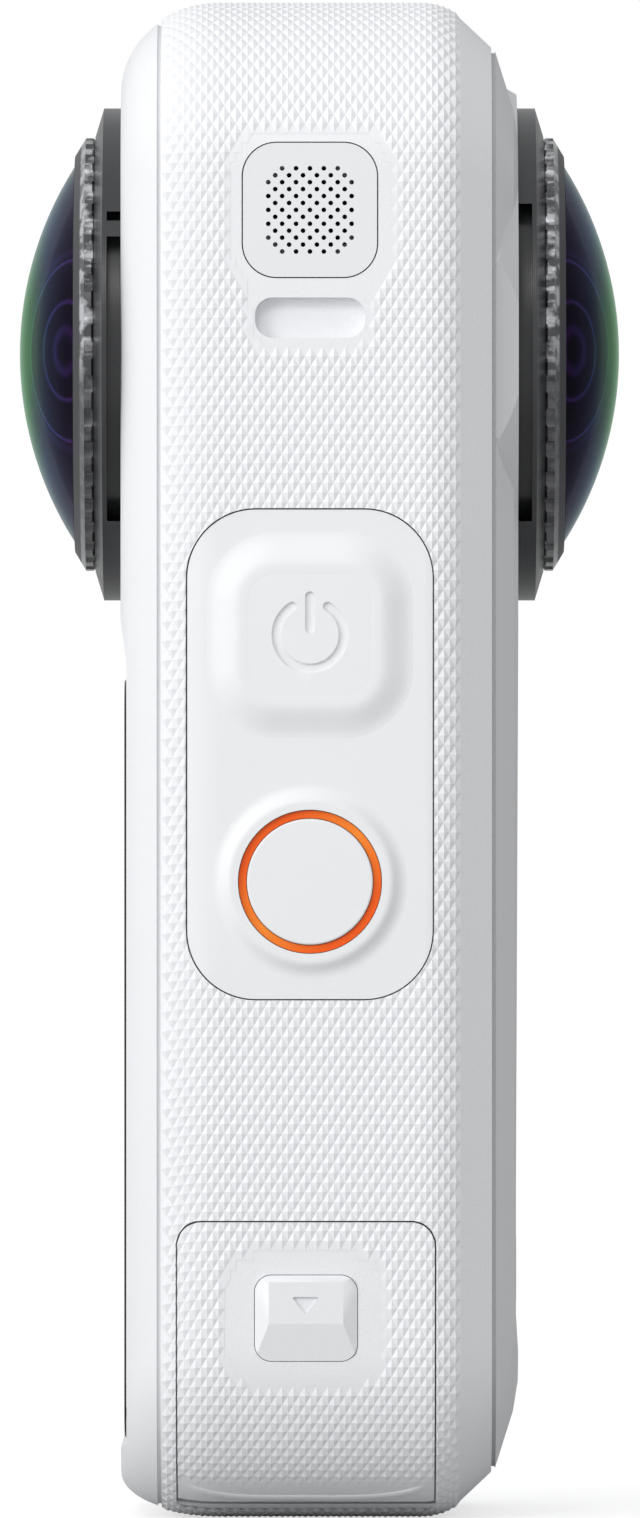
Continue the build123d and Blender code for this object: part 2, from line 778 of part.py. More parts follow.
front_neck_rise, rear_neck_rise = neck_rises
for side, end, shell_inner_x, neck_rise in (
    (1, "front", front_seam_x, front_neck_rise),
    (-1, "rear", rear_cavity_x, rear_neck_rise),
):
    # Base ring, with the lip that holds the guard's lugs and three gaps that let them in
    with BuildPart() as base_ring:
        with BuildSketch(lens_profile(side)):
            with BuildLine():
                Polyline(
                    (face_x, groove_radius),
                    (face_x, base_radius),
                    (base_flange_x, base_radius),
                    (base_top_x, base_top_radius),
                    (base_top_x, lip_bore_radius),
                    (base_top_x - lip_thickness, lip_bore_radius),
                    (base_top_x - lip_thickness, groove_radius),
                    close=True,
                )
            make_face()
        revolve(axis=lens_axis)
        with BuildSketch(lens_face(side, groove_bottom_x)):
            with PolarLocations(lip_bore_radius, lug_count, start_angle=guard_twist):
                Rectangle(4 * (groove_radius - lip_bore_radius), entry_width)
            Circle(groove_radius, mode=Mode.INTERSECT)
        extrude(amount=base_top_x - groove_bottom_x + overrun, mode=Mode.SUBTRACT)
        # Narrow neck under the flange, between a block at the top and one at the bottom
        with BuildSketch(lens_face(side, face_x)):
            with Locations(((neck_rise - neck_drop) / 2, 0)):
                Rectangle(neck_rise + neck_drop, 4 * base_radius)
            Circle(base_radius + overrun, mode=Mode.INTERSECT)
            Circle(neck_radius, mode=Mode.SUBTRACT)
        extrude(amount=neck_top_x - face_x, mode=Mode.SUBTRACT)
        # Slot across the top block
        if neck_rise < slot_rise:
            with BuildSketch(lens_face(side, face_x)):
                with Locations((slot_rise, 0)):
                    Rectangle(slot_height, 4 * base_radius)
                Circle(base_radius + overrun, mode=Mode.INTERSECT)
                Circle(neck_radius + fit_gap, mode=Mode.SUBTRACT)
            extrude(amount=neck_top_x - face_x, mode=Mode.SUBTRACT)
    finish(base_ring, f"{end}_base_ring")

    # Guard ring: skirt with three lugs, grip with scallops, and the dome's seat
    with BuildPart() as guard_ring:
        with BuildSketch(lens_profile(side)):
            with BuildLine():
                Polyline(
                    (skirt_bottom_x, skirt_bore_radius),
                    (skirt_bottom_x, skirt_radius),
                    (base_top_x + guard_gap, skirt_radius),
                    (base_top_x + guard_gap, grip_radius - grip_chamfer),
                    (base_top_x + guard_gap + grip_chamfer, grip_radius),
                    (grip_top_x, grip_radius),
                    (grip_face_x, grip_face_radius),
                    (grip_face_x, dome_rim_radius + fit_gap),
                    (dome_seat_x, dome_rim_radius + fit_gap),
                    (dome_seat_x, dome_ledge_radius),
                    (guard_underside_x, dome_ledge_radius),
                    (guard_underside_x, skirt_bore_radius),
                    close=True,
                )
            make_face()
        revolve(axis=lens_axis)
        with BuildSketch(lens_face(side, skirt_bottom_x)):
            with PolarLocations(skirt_radius, lug_count):
                Rectangle(4 * (lug_radius - skirt_radius), lug_width)
            Circle(lug_radius, mode=Mode.INTERSECT)
            Circle((skirt_radius + skirt_bore_radius) / 2, mode=Mode.SUBTRACT)
        extrude(amount=lug_thickness)
        with BuildSketch(lens_face(side, base_top_x)):
            with PolarLocations(grip_radius + scallop_radius - scallop_depth, scallop_count):
                Circle(scallop_radius)
        extrude(amount=grip_top_x - base_top_x, mode=Mode.SUBTRACT)
    finish(guard_ring, f"{end}_guard_ring")

    # Clear dome of the guard
    inner_dome_radius = dome_radius - dome_thickness
    inner_apex_x = dome_apex_x - dome_thickness
    inner_rim_radius = sqrt(inner_dome_radius**2 - (dome_seat_x - dome_apex_x + dome_radius) ** 2)
    with BuildPart() as guard_dome:
        with BuildSketch(lens_profile(side)):
            with BuildLine():
                Line((dome_seat_x, inner_rim_radius), (dome_seat_x, dome_rim_radius))
                rim_x = ball_x(dome_radius, dome_apex_x, dome_rim_radius)
                Line((dome_seat_x, dome_rim_radius), (rim_x, dome_rim_radius))
                ThreePointArc(
                    (rim_x, dome_rim_radius),
                    (ball_x(dome_radius, dome_apex_x, dome_rim_radius / 2), dome_rim_radius / 2),
                    (dome_apex_x, 0),
                )
                Line((dome_apex_x, 0), (inner_apex_x, 0))
                ThreePointArc(
                    (inner_apex_x, 0),
                    (ball_x(inner_dome_radius, inner_apex_x, inner_rim_radius / 2), inner_rim_radius / 2),
                    (dome_seat_x, inner_rim_radius),
                )
            make_face()
        revolve(axis=lens_axis)
    finish(guard_dome, f"{end}_guard_dome")

    # Seal under the guard
    with BuildPart() as guard_seal:
        with BuildSketch(lens_face(side, barrel_top_x + seal_clearance)):
            Circle(skirt_bore_radius - fit_gap)
            Circle(dome_ledge_radius, mode=Mode.SUBTRACT)
        extrude(amount=guard_underside_x - barrel_top_x - seal_clearance)
    finish(guard_seal, f"{end}_guard_seal")

    # Barrel with its flange behind the shell and its stepped stray-light rings
    baffle_points = []
    for step in range(baffle_count):
        baffle_radius = baffle_top_radius - step * baffle_step
        baffle_points.append((barrel_top_x - step * baffle_pitch, baffle_radius))
        baffle_points.append((barrel_top_x - (step + 1) * baffle_pitch, baffle_radius))
    eye_seat_x = barrel_top_x - baffle_count * baffle_pitch
    with BuildPart() as lens_barrel:
        with BuildSketch(lens_profile(side)):
            with BuildLine():
                Polyline(
                    (barrel_end_x, barrel_bore_radius),
                    (barrel_end_x, barrel_neck_radius),
                    (barrel_neck_x, barrel_neck_radius),
                    (shell_inner_x - barrel_flange_thickness, barrel_radius),
                    (shell_inner_x - barrel_flange_thickness, barrel_flange_radius),
                    (shell_inner_x, barrel_flange_radius),
                    (shell_inner_x, barrel_radius),
                    (barrel_top_x, barrel_radius),
                    *baffle_points,
                    (eye_seat_x, barrel_bore_radius),
                    close=True,
                )
            make_face()
        revolve(axis=lens_axis)
    finish(lens_barrel, f"{end}_lens_barrel")

    # Front element, a deep meniscus
    eye_rim_x = ball_x(eye_radius, eye_apex_x, eye_rim_radius)
    hollow_rim_radius = sqrt(eye_hollow_radius**2 - (eye_seat_x - eye_hollow_apex_x + eye_hollow_radius) ** 2)
    with BuildPart() as lens_front:
        with BuildSketch(lens_profile(side)):
            with BuildLine():
                Line((eye_seat_x, hollow_rim_radius), (eye_seat_x, eye_rim_radius))
                Line((eye_seat_x, eye_rim_radius), (eye_rim_x, eye_rim_radius))
                ThreePointArc(
                    (eye_rim_x, eye_rim_radius),
                    (ball_x(eye_radius, eye_apex_x, eye_rim_radius / 2), eye_rim_radius / 2),
                    (eye_apex_x, 0),
                )
                Line((eye_apex_x, 0), (eye_hollow_apex_x, 0))
                ThreePointArc(
                    (eye_hollow_apex_x, 0),
                    (ball_x(eye_hollow_radius, eye_hollow_apex_x, hollow_rim_radius / 2), hollow_rim_radius / 2),
                    (eye_seat_x, hollow_rim_radius),
                )
            make_face()
        revolve(axis=lens_axis)
    finish(lens_front, f"{end}_lens_front")

    # Three inner elements in the barrel's bore
    group_radius = barrel_bore_radius - fit_gap
    crown_radius = (group_radius**2 + group_crown**2) / (2 * group_crown)
    with BuildPart() as lens_group:
        for edge_x in group_edge_places:
            with BuildSketch(lens_profile(side)):
                with BuildLine():
                    Line((edge_x, 0), (edge_x, group_radius))
                    Line((edge_x, group_radius), (edge_x + group_edge_thickness, group_radius))
                    crown_x = edge_x + group_edge_thickness + group_crown
                    ThreePointArc(
                        (edge_x + group_edge_thickness, group_radius),
                        (ball_x(crown_radius, crown_x, group_radius / 2), group_radius / 2),
                        (crown_x, 0),
                    )
                    Line((crown_x, 0), (edge_x, 0))
                make_face()
            revolve(axis=lens_axis)
    finish(lens_group, f"{end}_lens_group")

    # Image sensor and its board
    with BuildPart() as image_sensor:
        with BuildSketch(lens_face(side, barrel_end_x)):
            Rectangle(sensor_height, sensor_width)
        extrude(amount=sensor_thickness)
    finish(image_sensor, f"{end}_image_sensor")
    with BuildPart() as sensor_board:
        with BuildSketch(lens_face(side, barrel_end_x)):
            Rectangle(sensor_board_size, sensor_board_size)
        extrude(amount=-sensor_board_thickness)
    finish(sensor_board, f"{end}_sensor_board")

# Block that takes the heat of both sensors
with BuildPart() as heat_spreader:
    with BuildSketch(Plane.YZ):
        with Locations((0, lens_z)):
            Rectangle(spreader_width, spreader_height)
    extrude(amount=barrel_end_x - sensor_board_thickness, both=True)
finish(heat_spreader, "heat_spreader")

# Panel round the two buttons, with the raised collar of the lower one
with BuildPart() as key_panel:
    add(body_form.part)
    with BuildSketch(button_side.offset(overrun)):
        with Locations((side_x, panel_z)):
            RectangleRounded(panel_width, panel_height, panel_corner)
    extrude(amount=-(overrun + panel_pocket), mode=Mode.INTERSECT)
    with BuildSketch(button_side):
        with Locations((side_x, record_z)):
            Circle(collar_radius)
    with BuildSketch(button_side.offset(collar_rise)):
        with Locations((side_x, record_z)):
            Circle(collar_top_radius)
    loft()
    fillet(key_panel.edges().filter_by(GeomType.CIRCLE).sort_by(Axis.Y)[0], collar_edge)
    fillet(key_panel.edges().filter_by(GeomType.CIRCLE).sort_by(SortBy.RADIUS)[-1], collar_foot)
    with BuildSketch(button_side.offset(-panel_pocket)):
        with Locations((side_x, panel_z)):
            RectangleRounded(panel_width - 2 * panel_rim, panel_height - 2 * panel_rim, panel_corner - panel_rim)
    extrude(amount=panel_pocket - panel_thickness, mode=Mode.SUBTRACT)
    with BuildSketch(button_side.offset(overrun)):
        with Locations((side_x, power_z)):
            RectangleRounded(power_base, power_base, power_base_corner)
        with Locations((side_x, record_z)):
            Circle(ring_outer_radius)
    extrude(amount=-(panel_pocket + 2 * overrun), mode=Mode.SUBTRACT)
finish(key_panel, "key_panel")

# Power button, a soft square that swells out of the panel
key_foot = panel_pocket - press_travel - seam_gap
stem_foot = wall + key_board_standoff - switch_height - press_travel - fit_gap
with BuildPart() as power_button:
    with BuildSketch(button_side.offset(-key_foot)):
        with Locations((side_x, power_z)):
            RectangleRounded(power_base - 2 * fit_gap, power_base - 2 * fit_gap, power_base_corner - fit_gap)
    extrude(amount=key_foot)
    with BuildSketch(button_side):
        with Locations((side_x, power_z)):
            RectangleRounded(power_base - 2 * fit_gap, power_base - 2 * fit_gap, power_base_corner - fit_gap)
    with BuildSketch(button_side.offset(power_rise)):
        with Locations((side_x, power_z)):
            RectangleRounded(power_top, power_top, power_top_corner)
    loft()
    fillet(power_button.faces().sort_by(Axis.Y)[0].edges(), power_edge)
    with BuildSketch(button_side.offset(-stem_foot)):
        with Locations((side_x, power_z)):
            Circle(stem_radius)
    extrude(amount=stem_foot)
finish(power_button, "power_button")

# Record button, a disc inside the orange ring
with BuildPart() as record_button:
    with BuildSketch(button_side.offset(-key_foot)):
        with Locations((side_x, record_z)):
            Circle(record_radius)
    extrude(amount=key_foot + collar_rise)
    fillet(record_button.faces().sort_by(Axis.Y)[0].edges(), record_edge)
    with BuildSketch(button_side.offset(-stem_foot)):
        with Locations((side_x, record_z)):
            Circle(stem_radius)
    extrude(amount=stem_foot)
finish(record_button, "record_button")

with BuildPart() as record_ring:
    with BuildSketch(button_side.offset(-panel_pocket)):
        with Locations((side_x, record_z)):
            Circle(ring_outer_radius - fit_gap)
            Circle(record_radius + fit_gap, mode=Mode.SUBTRACT)
    extrude(amount=panel_pocket + collar_rise - ring_sink)
finish(record_ring, "record_ring")

# Board behind the buttons, and its two switches
key_board_y = wall + key_board_standoff
with BuildPart() as key_board:
    with BuildSketch(button_side.offset(-key_board_y)):
        with Locations((side_x, panel_z)):
            board_corner_radius = panel_corner - panel_rim
            RectangleRounded(panel_width - key_board_margin, panel_height + key_board_margin, board_corner_radius)
    extrude(amount=-key_board_thickness)
finish(key_board, "key_board")

with BuildPart() as key_switches:
    for switch_z in (power_z, record_z):
        with BuildSketch(button_side.offset(-key_board_y)):
            with Locations((side_x, switch_z)):
                Circle(switch_radius)
        extrude(amount=switch_base)
        with BuildSketch(button_side.offset(-key_board_y)):
            with Locations((side_x, switch_z)):
                Circle(switch_cap_radius)
        extrude(amount=switch_height)
finish(key_switches, "key_switches")

# Sound grille, dished behind its rows of holes
with BuildPart() as grille_plate:
    with BuildSketch(button_side):
        with Locations((side_x, grille_z)):
            RectangleRounded(grille_width, grille_width, grille_corner)
    extrude(amount=-grille_thickness)
    with BuildSketch(button_side.offset(-grille_thickness)):
        with Locations((side_x, grille_z)):
            Circle(grille_dish_radius)
    extrude(amount=grille_dish_depth, mode=Mode.SUBTRACT)
    hole_places = []
    for row, hole_count in enumerate(grille_rows):
        row_z = grille_z + ((len(grille_rows) - 1) / 2 - row) * grille_row_pitch
        for hole in range(hole_count):
            hole_x = side_x + (hole - (hole_count - 1) / 2) * grille_column_pitch
            hole_places.append((hole_x, row_z))
    with BuildSketch(button_side):
        with Locations(*hole_places):
            Circle(grille_hole_radius)
    extrude(amount=-grille_thickness, mode=Mode.SUBTRACT)
finish(grille_plate, "grille_plate")

with BuildPart() as grille_gasket:
    with BuildSketch(button_side.offset(-wall)):
        with Locations((side_x, grille_z)):
            Circle(gasket_radius)
            Circle(sound_radius, mode=Mode.SUBTRACT)
    extrude(amount=-gasket_thickness)
finish(grille_gasket, "grille_gasket")

with BuildPart() as speaker:
    with BuildSketch(button_side.offset(-wall - gasket_thickness)):
        with Locations((side_x, grille_z)):
            RectangleRounded(speaker_size, speaker_size, speaker_corner)
    extrude(amount=-speaker_thickness)
finish(speaker, "speaker")

# Knuckle of the port door, flush with the body where it shows
with BuildPart() as knuckle:
    add(body_form.part)
    add(hinge_cylinder(knuckle_radius, door_left_x, door_right_x), mode=Mode.INTERSECT)
    add(door_prism.part, mode=Mode.INTERSECT)

# Port door: a skin shaped like the body's corner, a knuckle on the pin, and a plug
with BuildPart() as port_door:
    add(body_form.part)
    add(door_prism.part, mode=Mode.INTERSECT)
    add(under_skin(door_skin, door_left_x - overrun, door_right_x + overrun), mode=Mode.SUBTRACT)
    add(knuckle.part)
    # The door stands off its frame by the seam's width
    with BuildSketch(button_side.offset(overrun)):
        with BuildLine():
            FilletPolyline(
                (door_left_x + seam_gap, -overrun),
                (door_left_x + seam_gap, door_top - seam_gap),
                (door_right_x - seam_gap, door_top - seam_gap),
                (door_right_x - seam_gap, -overrun),
                radius=door_corner,
            )
            Line((door_right_x - seam_gap, -overrun), (door_left_x + seam_gap, -overrun))
        make_face()
    extrude(amount=-(corner_radius + overrun), mode=Mode.INTERSECT)
    with BuildSketch(button_side.offset(-door_skin)):
        with Locations((door_middle_x, plug_middle_z)):
            RectangleRounded(door_width - 2 * plug_margin, plug_top - plug_bottom, plug_corner)
    extrude(amount=-(plug_depth - door_skin))
    add(hinge_cylinder(hinge_pin_radius + fit_gap, door_left_x, door_right_x), mode=Mode.SUBTRACT)
    # Opening of the latch button, room for its wedge, and the bolt's channel
    with BuildSketch(button_side.offset(overrun)):
        with Locations((latch_x, latch_z)):
            RectangleRounded(latch_width, latch_height, latch_corner)
    extrude(amount=-(overrun + bolt_depth), mode=Mode.SUBTRACT)
    with BuildSketch(button_side.offset(-bolt_depth + bolt_gap)):
        channel_bottom = bolt_foot - leaf_height - bolt_gap
        with Locations((latch_x, (channel_bottom + plug_top + overrun) / 2)):
            Rectangle(bolt_width + 2 * bolt_gap, plug_top + overrun - channel_bottom)
    extrude(amount=-(bolt_thickness + 2 * bolt_gap), mode=Mode.SUBTRACT)
    with BuildSketch(button_side):
        with Locations((latch_x, latch_z)):
            Rectangle(wedge_width + 4 * bolt_gap, wedge_height + 4 * bolt_gap)
    extrude(amount=-(bolt_depth + wedge_length + latch_travel + bolt_gap), mode=Mode.SUBTRACT)
finish(port_door, "port_door")

with BuildPart() as hinge_pin:
    add(hinge_cylinder(hinge_pin_radius, door_left_x - hinge_pin_overhang, door_right_x + hinge_pin_overhang))
finish(hinge_pin, "hinge_pin")

with BuildPart() as door_gasket:
    with BuildSketch(button_side.offset(-plug_depth)):
        with Locations((door_middle_x, plug_middle_z)):
            plug_width = door_width - 2 * plug_margin
            plug_height = plug_top - plug_bottom
            RectangleRounded(plug_width, plug_height, plug_corner)
            inner_width = plug_width - 2 * gasket_rim
            inner_height = plug_height - 2 * gasket_rim
            RectangleRounded(inner_width, inner_height, plug_corner / 2, mode=Mode.SUBTRACT)
    extrude(amount=-gasket_height)
finish(door_gasket, "door_gasket")

# Latch button with a raised facet over a sloping thumb face, and its wedge behind
slope_y = -half_width - latch_rise
latch_floor_y = -half_width + latch_inner
wedge_lower_z = latch_z - wedge_height / 2
with BuildPart() as door_latch:
    with BuildSketch(button_side.offset(-latch_inner)):
        with Locations((latch_x, latch_z)):
            RectangleRounded(latch_width - 2 * fit_gap, latch_height - 2 * fit_gap, latch_corner - fit_gap)
    extrude(amount=latch_inner + latch_rise)
    with BuildSketch(Plane.YZ.offset(latch_x - latch_width)):
        with BuildLine():
            Polyline(
                (slope_y, latch_z + latch_height / 2 - latch_facet - latch_bevel / 2),
                (-half_width, latch_z - latch_height / 2),
                (slope_y - overrun, latch_z - latch_height / 2),
                (slope_y - overrun, latch_z + latch_height / 2 - latch_facet - latch_bevel / 2),
                close=True,
            )
        make_face()
    extrude(amount=2 * latch_width, mode=Mode.SUBTRACT)
    with BuildSketch(Plane.XY.offset(latch_z - latch_height)):
        for hand in (-1, 1):
            with BuildLine():
                Polyline(
                    (latch_x + hand * (latch_width / 2 - latch_bevel), slope_y),
                    (latch_x + hand * latch_width / 2, -half_width),
                    (latch_x + hand * latch_width / 2, slope_y),
                    close=True,
                )
            make_face()
    extrude(amount=2 * latch_height, mode=Mode.SUBTRACT)
    with BuildSketch(Plane.YZ.offset(latch_x - latch_width)):
        with BuildLine():
            Polyline(
                (slope_y, latch_z + latch_height / 2 - latch_bevel / 2),
                (-half_width, latch_z + latch_height / 2),
                (slope_y, latch_z + latch_height / 2),
                close=True,
            )
        make_face()
    extrude(amount=2 * latch_width, mode=Mode.SUBTRACT)
    # Wedge: its lower face climbs by the bolt's travel over the button's travel
    wedge_slope = bolt_travel / latch_travel
    with BuildSketch(Plane.YZ.offset(latch_x - wedge_width / 2)):
        wedge_tip_y = -half_width + bolt_depth + wedge_length
        with BuildLine():
            Polyline(
                (latch_floor_y, wedge_lower_z),
                (wedge_tip_y - (wedge_height - bolt_gap) / wedge_slope, wedge_lower_z),
                (wedge_tip_y, wedge_lower_z + wedge_height - bolt_gap),
                (wedge_tip_y, wedge_lower_z + wedge_height),
                (latch_floor_y, wedge_lower_z + wedge_height),
                close=True,
            )
        make_face()
    extrude(amount=wedge_width)
finish(door_latch, "door_latch")

# Bolt with a window whose lower edge is the ramp that the wedge pushes
bolt_top = bay_top - bolt_gap
bolt_outer_y = -half_width + bolt_depth
bolt_inner_y = bolt_outer_y + bolt_thickness
wedge_line_y = wedge_tip_y - (wedge_height - bolt_gap) / wedge_slope
ramp_outer_z = wedge_lower_z + (bolt_outer_y - wedge_line_y) * wedge_slope - fit_gap
ramp_inner_z = wedge_lower_z + (bolt_inner_y - wedge_line_y) * wedge_slope - fit_gap
window_top_z = wedge_lower_z + wedge_height + bolt_travel + bolt_gap
with BuildPart() as latch_bolt:
    with BuildSketch(button_side.offset(-bolt_depth)):
        with Locations((latch_x, (bolt_foot + bolt_top) / 2)):
            Rectangle(bolt_width, bolt_top - bolt_foot)
    extrude(amount=-bolt_thickness)
    with BuildSketch(Plane.YZ.offset(latch_x - wedge_width / 2 - bolt_gap)):
        with BuildLine():
            Polyline(
                (bolt_outer_y - bolt_gap, ramp_outer_z - bolt_gap * wedge_slope),
                (bolt_inner_y + bolt_gap, ramp_inner_z + bolt_gap * wedge_slope),
                (bolt_inner_y + bolt_gap, window_top_z),
                (bolt_outer_y - bolt_gap, window_top_z),
                close=True,
            )
        make_face()
    extrude(amount=wedge_width + 2 * bolt_gap, mode=Mode.SUBTRACT)
finish(latch_bolt, "latch_bolt")

# Leaf spring under the bolt, bent into a flat zigzag
with BuildPart() as latch_spring:
    with BuildSketch(Plane.XZ.offset(half_width - bolt_depth - (bolt_thickness - leaf_reach) / 2)):
        with BuildLine():
            Polyline(
                (latch_x - leaf_width / 2, bolt_foot - leaf_height + leaf_thickness / 2),
                (latch_x + leaf_width / 2, bolt_foot - leaf_height * 2 / 3),
                (latch_x - leaf_width / 2, bolt_foot - leaf_height / 3),
                (latch_x + leaf_width / 2, bolt_foot - leaf_thickness / 2),
            )
        trace(line_width=leaf_thickness)
    extrude(amount=-leaf_reach)
finish(latch_spring, "latch_spring")

# Port socket: a shell with a tongue, on its own small board
with BuildPart() as usb_socket:
    with BuildSketch(button_side.offset(-bay_depth)):
        with Locations((door_middle_x, port_z)):
            SlotOverall(port_height, port_width, rotation=90)
    extrude(amount=-port_length)
    with BuildSketch(button_side.offset(-bay_depth)):
        with Locations((door_middle_x, port_z)):
            SlotOverall(port_height - 2 * port_shell, port_width - 2 * port_shell, rotation=90)
    extrude(amount=-(port_length - port_shell), mode=Mode.SUBTRACT)
    with BuildSketch(button_side.offset(-bay_depth - port_tongue_margin)):
        with Locations((door_middle_x, port_z)):
            Rectangle(port_tongue_thickness, port_height - 2 * port_tongue_margin)
    extrude(amount=-(port_length - port_tongue_margin))
finish(usb_socket, "usb_socket")

with BuildPart() as port_board:
    board_front = bay_depth + bay_wall + seam_gap
    with BuildSketch(Plane.XY.offset(port_z - port_height / 2)):
        board_middle_y = -half_width + board_front + port_board_length / 2
        board_outer_x = door_middle_x - port_width / 2
        with Locations((board_outer_x - port_board_thickness / 2, board_middle_y)):
            Rectangle(port_board_thickness, port_board_length)
    extrude(amount=port_height + port_board_margin)
finish(port_board, "port_board")

# Battery tray, open on the hidden side
tray_inner_width = battery_thickness + 2 * tray_gap
tray_inner_height = battery_height + 2 * tray_gap
tray_floor_y = battery_inner_y - contact_thickness - tray_gap
with BuildPart() as battery_tray:
    with BuildSketch(Plane.XZ.offset(-inner_y)):
        with Locations((battery_x, battery_z)):
            RectangleRounded(
                tray_inner_width + 2 * tray_wall, tray_inner_height + 2 * tray_wall, battery_corner + tray_wall
            )
    extrude(amount=inner_y - tray_floor_y + tray_wall)
    with BuildSketch(Plane.XZ.offset(-inner_y)):
        with Locations((battery_x, battery_z)):
            RectangleRounded(tray_inner_width, tray_inner_height, battery_corner)
    extrude(amount=inner_y - tray_floor_y, mode=Mode.SUBTRACT)
    with BuildSketch(Plane.XZ.offset(-tray_floor_y)):
        with Locations((battery_x, battery_z)):
            contact_span = contact_count * contact_pitch
            Rectangle(contact_span, contact_height)
    extrude(amount=tray_wall + overrun, mode=Mode.SUBTRACT)
finish(battery_tray, "battery_tray")

with BuildPart() as battery_contacts:
    with BuildSketch(Plane.XZ.offset(-tray_floor_y)):
        with Locations((battery_x, battery_z)):
            Rectangle(contact_span - 2 * fit_gap, contact_height - 2 * fit_gap)
    extrude(amount=tray_wall)
    with BuildSketch(Plane.XZ.offset(-tray_floor_y + tray_wall)):
        with Locations((battery_x, battery_z)):
            Rectangle(contact_span + 2 * contact_margin, contact_height + 2 * contact_margin)
    extrude(amount=contact_housing_depth)
    with BuildSketch(Plane.XZ.offset(-tray_floor_y)):
        with Locations((battery_x, battery_z)):
            with GridLocations(contact_pitch, 0, contact_count, 1):
                Rectangle(contact_width, contact_height / 2)
    extrude(amount=-contact_thickness)
finish(battery_contacts, "battery_contacts")

with BuildPart() as battery_pack:
    with BuildSketch(Plane.XZ.offset(-battery_outer_y)):
        with Locations((battery_x, battery_z)):
            RectangleRounded(battery_thickness, battery_height, battery_corner)
    extrude(amount=battery_outer_y - battery_inner_y)
finish(battery_pack, "battery_pack")

# Outer cover of the battery, with the catch's recess and channel
catch_floor = cover_thickness - catch_recess
cover_bottom = battery_z - cover_height / 2
cover_top = battery_z + cover_height / 2
with BuildPart() as battery_cover:
    add(body_form.part)
    with BuildSketch(Plane.XZ.offset(-half_width - overrun)):
        with Locations((battery_x, battery_z)):
            RectangleRounded(cover_width, cover_height, cover_corner)
    extrude(amount=overrun + cover_thickness, mode=Mode.INTERSECT)
    with BuildSketch(Plane.XZ.offset(-half_width - overrun)):
        with Locations((battery_x, catch_z - catch_travel / 2)):
            RectangleRounded(
                catch_width + 2 * seam_gap, catch_height + catch_travel + 2 * seam_gap, catch_corner + seam_gap
            )
    extrude(amount=overrun + catch_recess, mode=Mode.SUBTRACT)
    with BuildSketch(Plane.XZ.offset(-battery_outer_y)):
        channel_low = catch_z - catch_height / 2 - catch_travel - seam_gap
        channel_high = cover_top + overrun
        with Locations((battery_x, (channel_low + channel_high) / 2)):
            Rectangle(catch_bolt_width + 2 * seam_gap, channel_high - channel_low)
    extrude(amount=-catch_floor, mode=Mode.SUBTRACT)
finish(battery_cover, "battery_cover")

with BuildPart() as battery_seal:
    with BuildSketch(Plane.XZ.offset(-battery_outer_y)):
        with Locations((battery_x, battery_z)):
            seal_width = battery_thickness + 2 * battery_seal_width
            seal_height = battery_height + 2 * battery_seal_width
            RectangleRounded(seal_width, seal_height, battery_corner + battery_seal_width)
            RectangleRounded(battery_thickness, battery_height, battery_corner, mode=Mode.SUBTRACT)
    extrude(amount=cover_recess - cover_thickness - fit_gap)
finish(battery_seal, "battery_seal")

# Catch that slides down to free the battery
with BuildPart() as battery_latch:
    with BuildSketch(Plane.XZ.offset(-half_width + catch_recess - fit_gap)):
        with Locations((battery_x, catch_z)):
            RectangleRounded(catch_width, catch_height, catch_corner)
    extrude(amount=-(catch_recess - 2 * fit_gap))
    with BuildSketch(Plane.XZ.offset(-half_width)):
        with Locations((battery_x, catch_z)):
            with GridLocations(0, catch_height / (catch_ridge_count + 1), 1, catch_ridge_count):
                Rectangle(catch_width / 2, catch_ridge)
    extrude(amount=-catch_ridge / 2, both=True)
    with BuildSketch(Plane.XZ.offset(-battery_outer_y - fit_gap)):
        with Locations((battery_x, (catch_z - catch_height / 2 + cover_top) / 2)):
            Rectangle(catch_bolt_width, cover_top - catch_z + catch_height / 2)
    extrude(amount=-(catch_floor - fit_gap))
    with BuildSketch(Plane.XZ.offset(-battery_outer_y - catch_floor)):
        with Locations((battery_x, catch_z)):
            Rectangle(catch_bolt_width, catch_height / 2)
    extrude(amount=-2 * fit_gap)
finish(battery_latch, "battery_latch")

# Main board beside the battery tray, cut away round the rear lens
with BuildPart() as main_board:
    with BuildSketch(Plane.YZ.offset(-board_x)):
        with Locations((0, (board_bottom + board_top) / 2)):
            RectangleRounded(board_width, board_top - board_bottom, board_corner)
        with Locations((0, lens_z)):
            Circle(barrel_neck_radius + board_lens_gap, mode=Mode.SUBTRACT)
        for post_side, post_z in screw_places:
            with Locations((post_side * screw_post_y, post_z)):
                Circle(screw_radius + fit_gap, mode=Mode.SUBTRACT)
    extrude(amount=-board_thickness)
finish(main_board, "main_board")

with BuildPart() as processor_shield:
    with BuildSketch(Plane.YZ.offset(-board_x)):
        with Locations((shield_y, shield_z)):
            Rectangle(shield_width, shield_height)
    extrude(amount=shield_thickness)
finish(processor_shield, "processor_shield")

with BuildPart() as card_socket:
    with BuildSketch(Plane.YZ.offset(-board_x)):
        with Locations((card_y, card_z)):
            Rectangle(card_width, card_height)
    extrude(amount=card_thickness)
    with BuildSketch(Plane.XZ.offset(-card_y - card_width / 2)):
        with Locations((-board_x + card_thickness / 2, card_z)):
            Rectangle(card_slot, card_height - 2 * card_slot)
    extrude(amount=card_width - card_slot, mode=Mode.SUBTRACT)
finish(card_socket, "card_socket")
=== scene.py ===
import math

import bmesh
import bpy
from bpy.props import FloatProperty, FloatVectorProperty, PointerProperty
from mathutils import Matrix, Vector
from mathutils.bvhtree import BVHTree


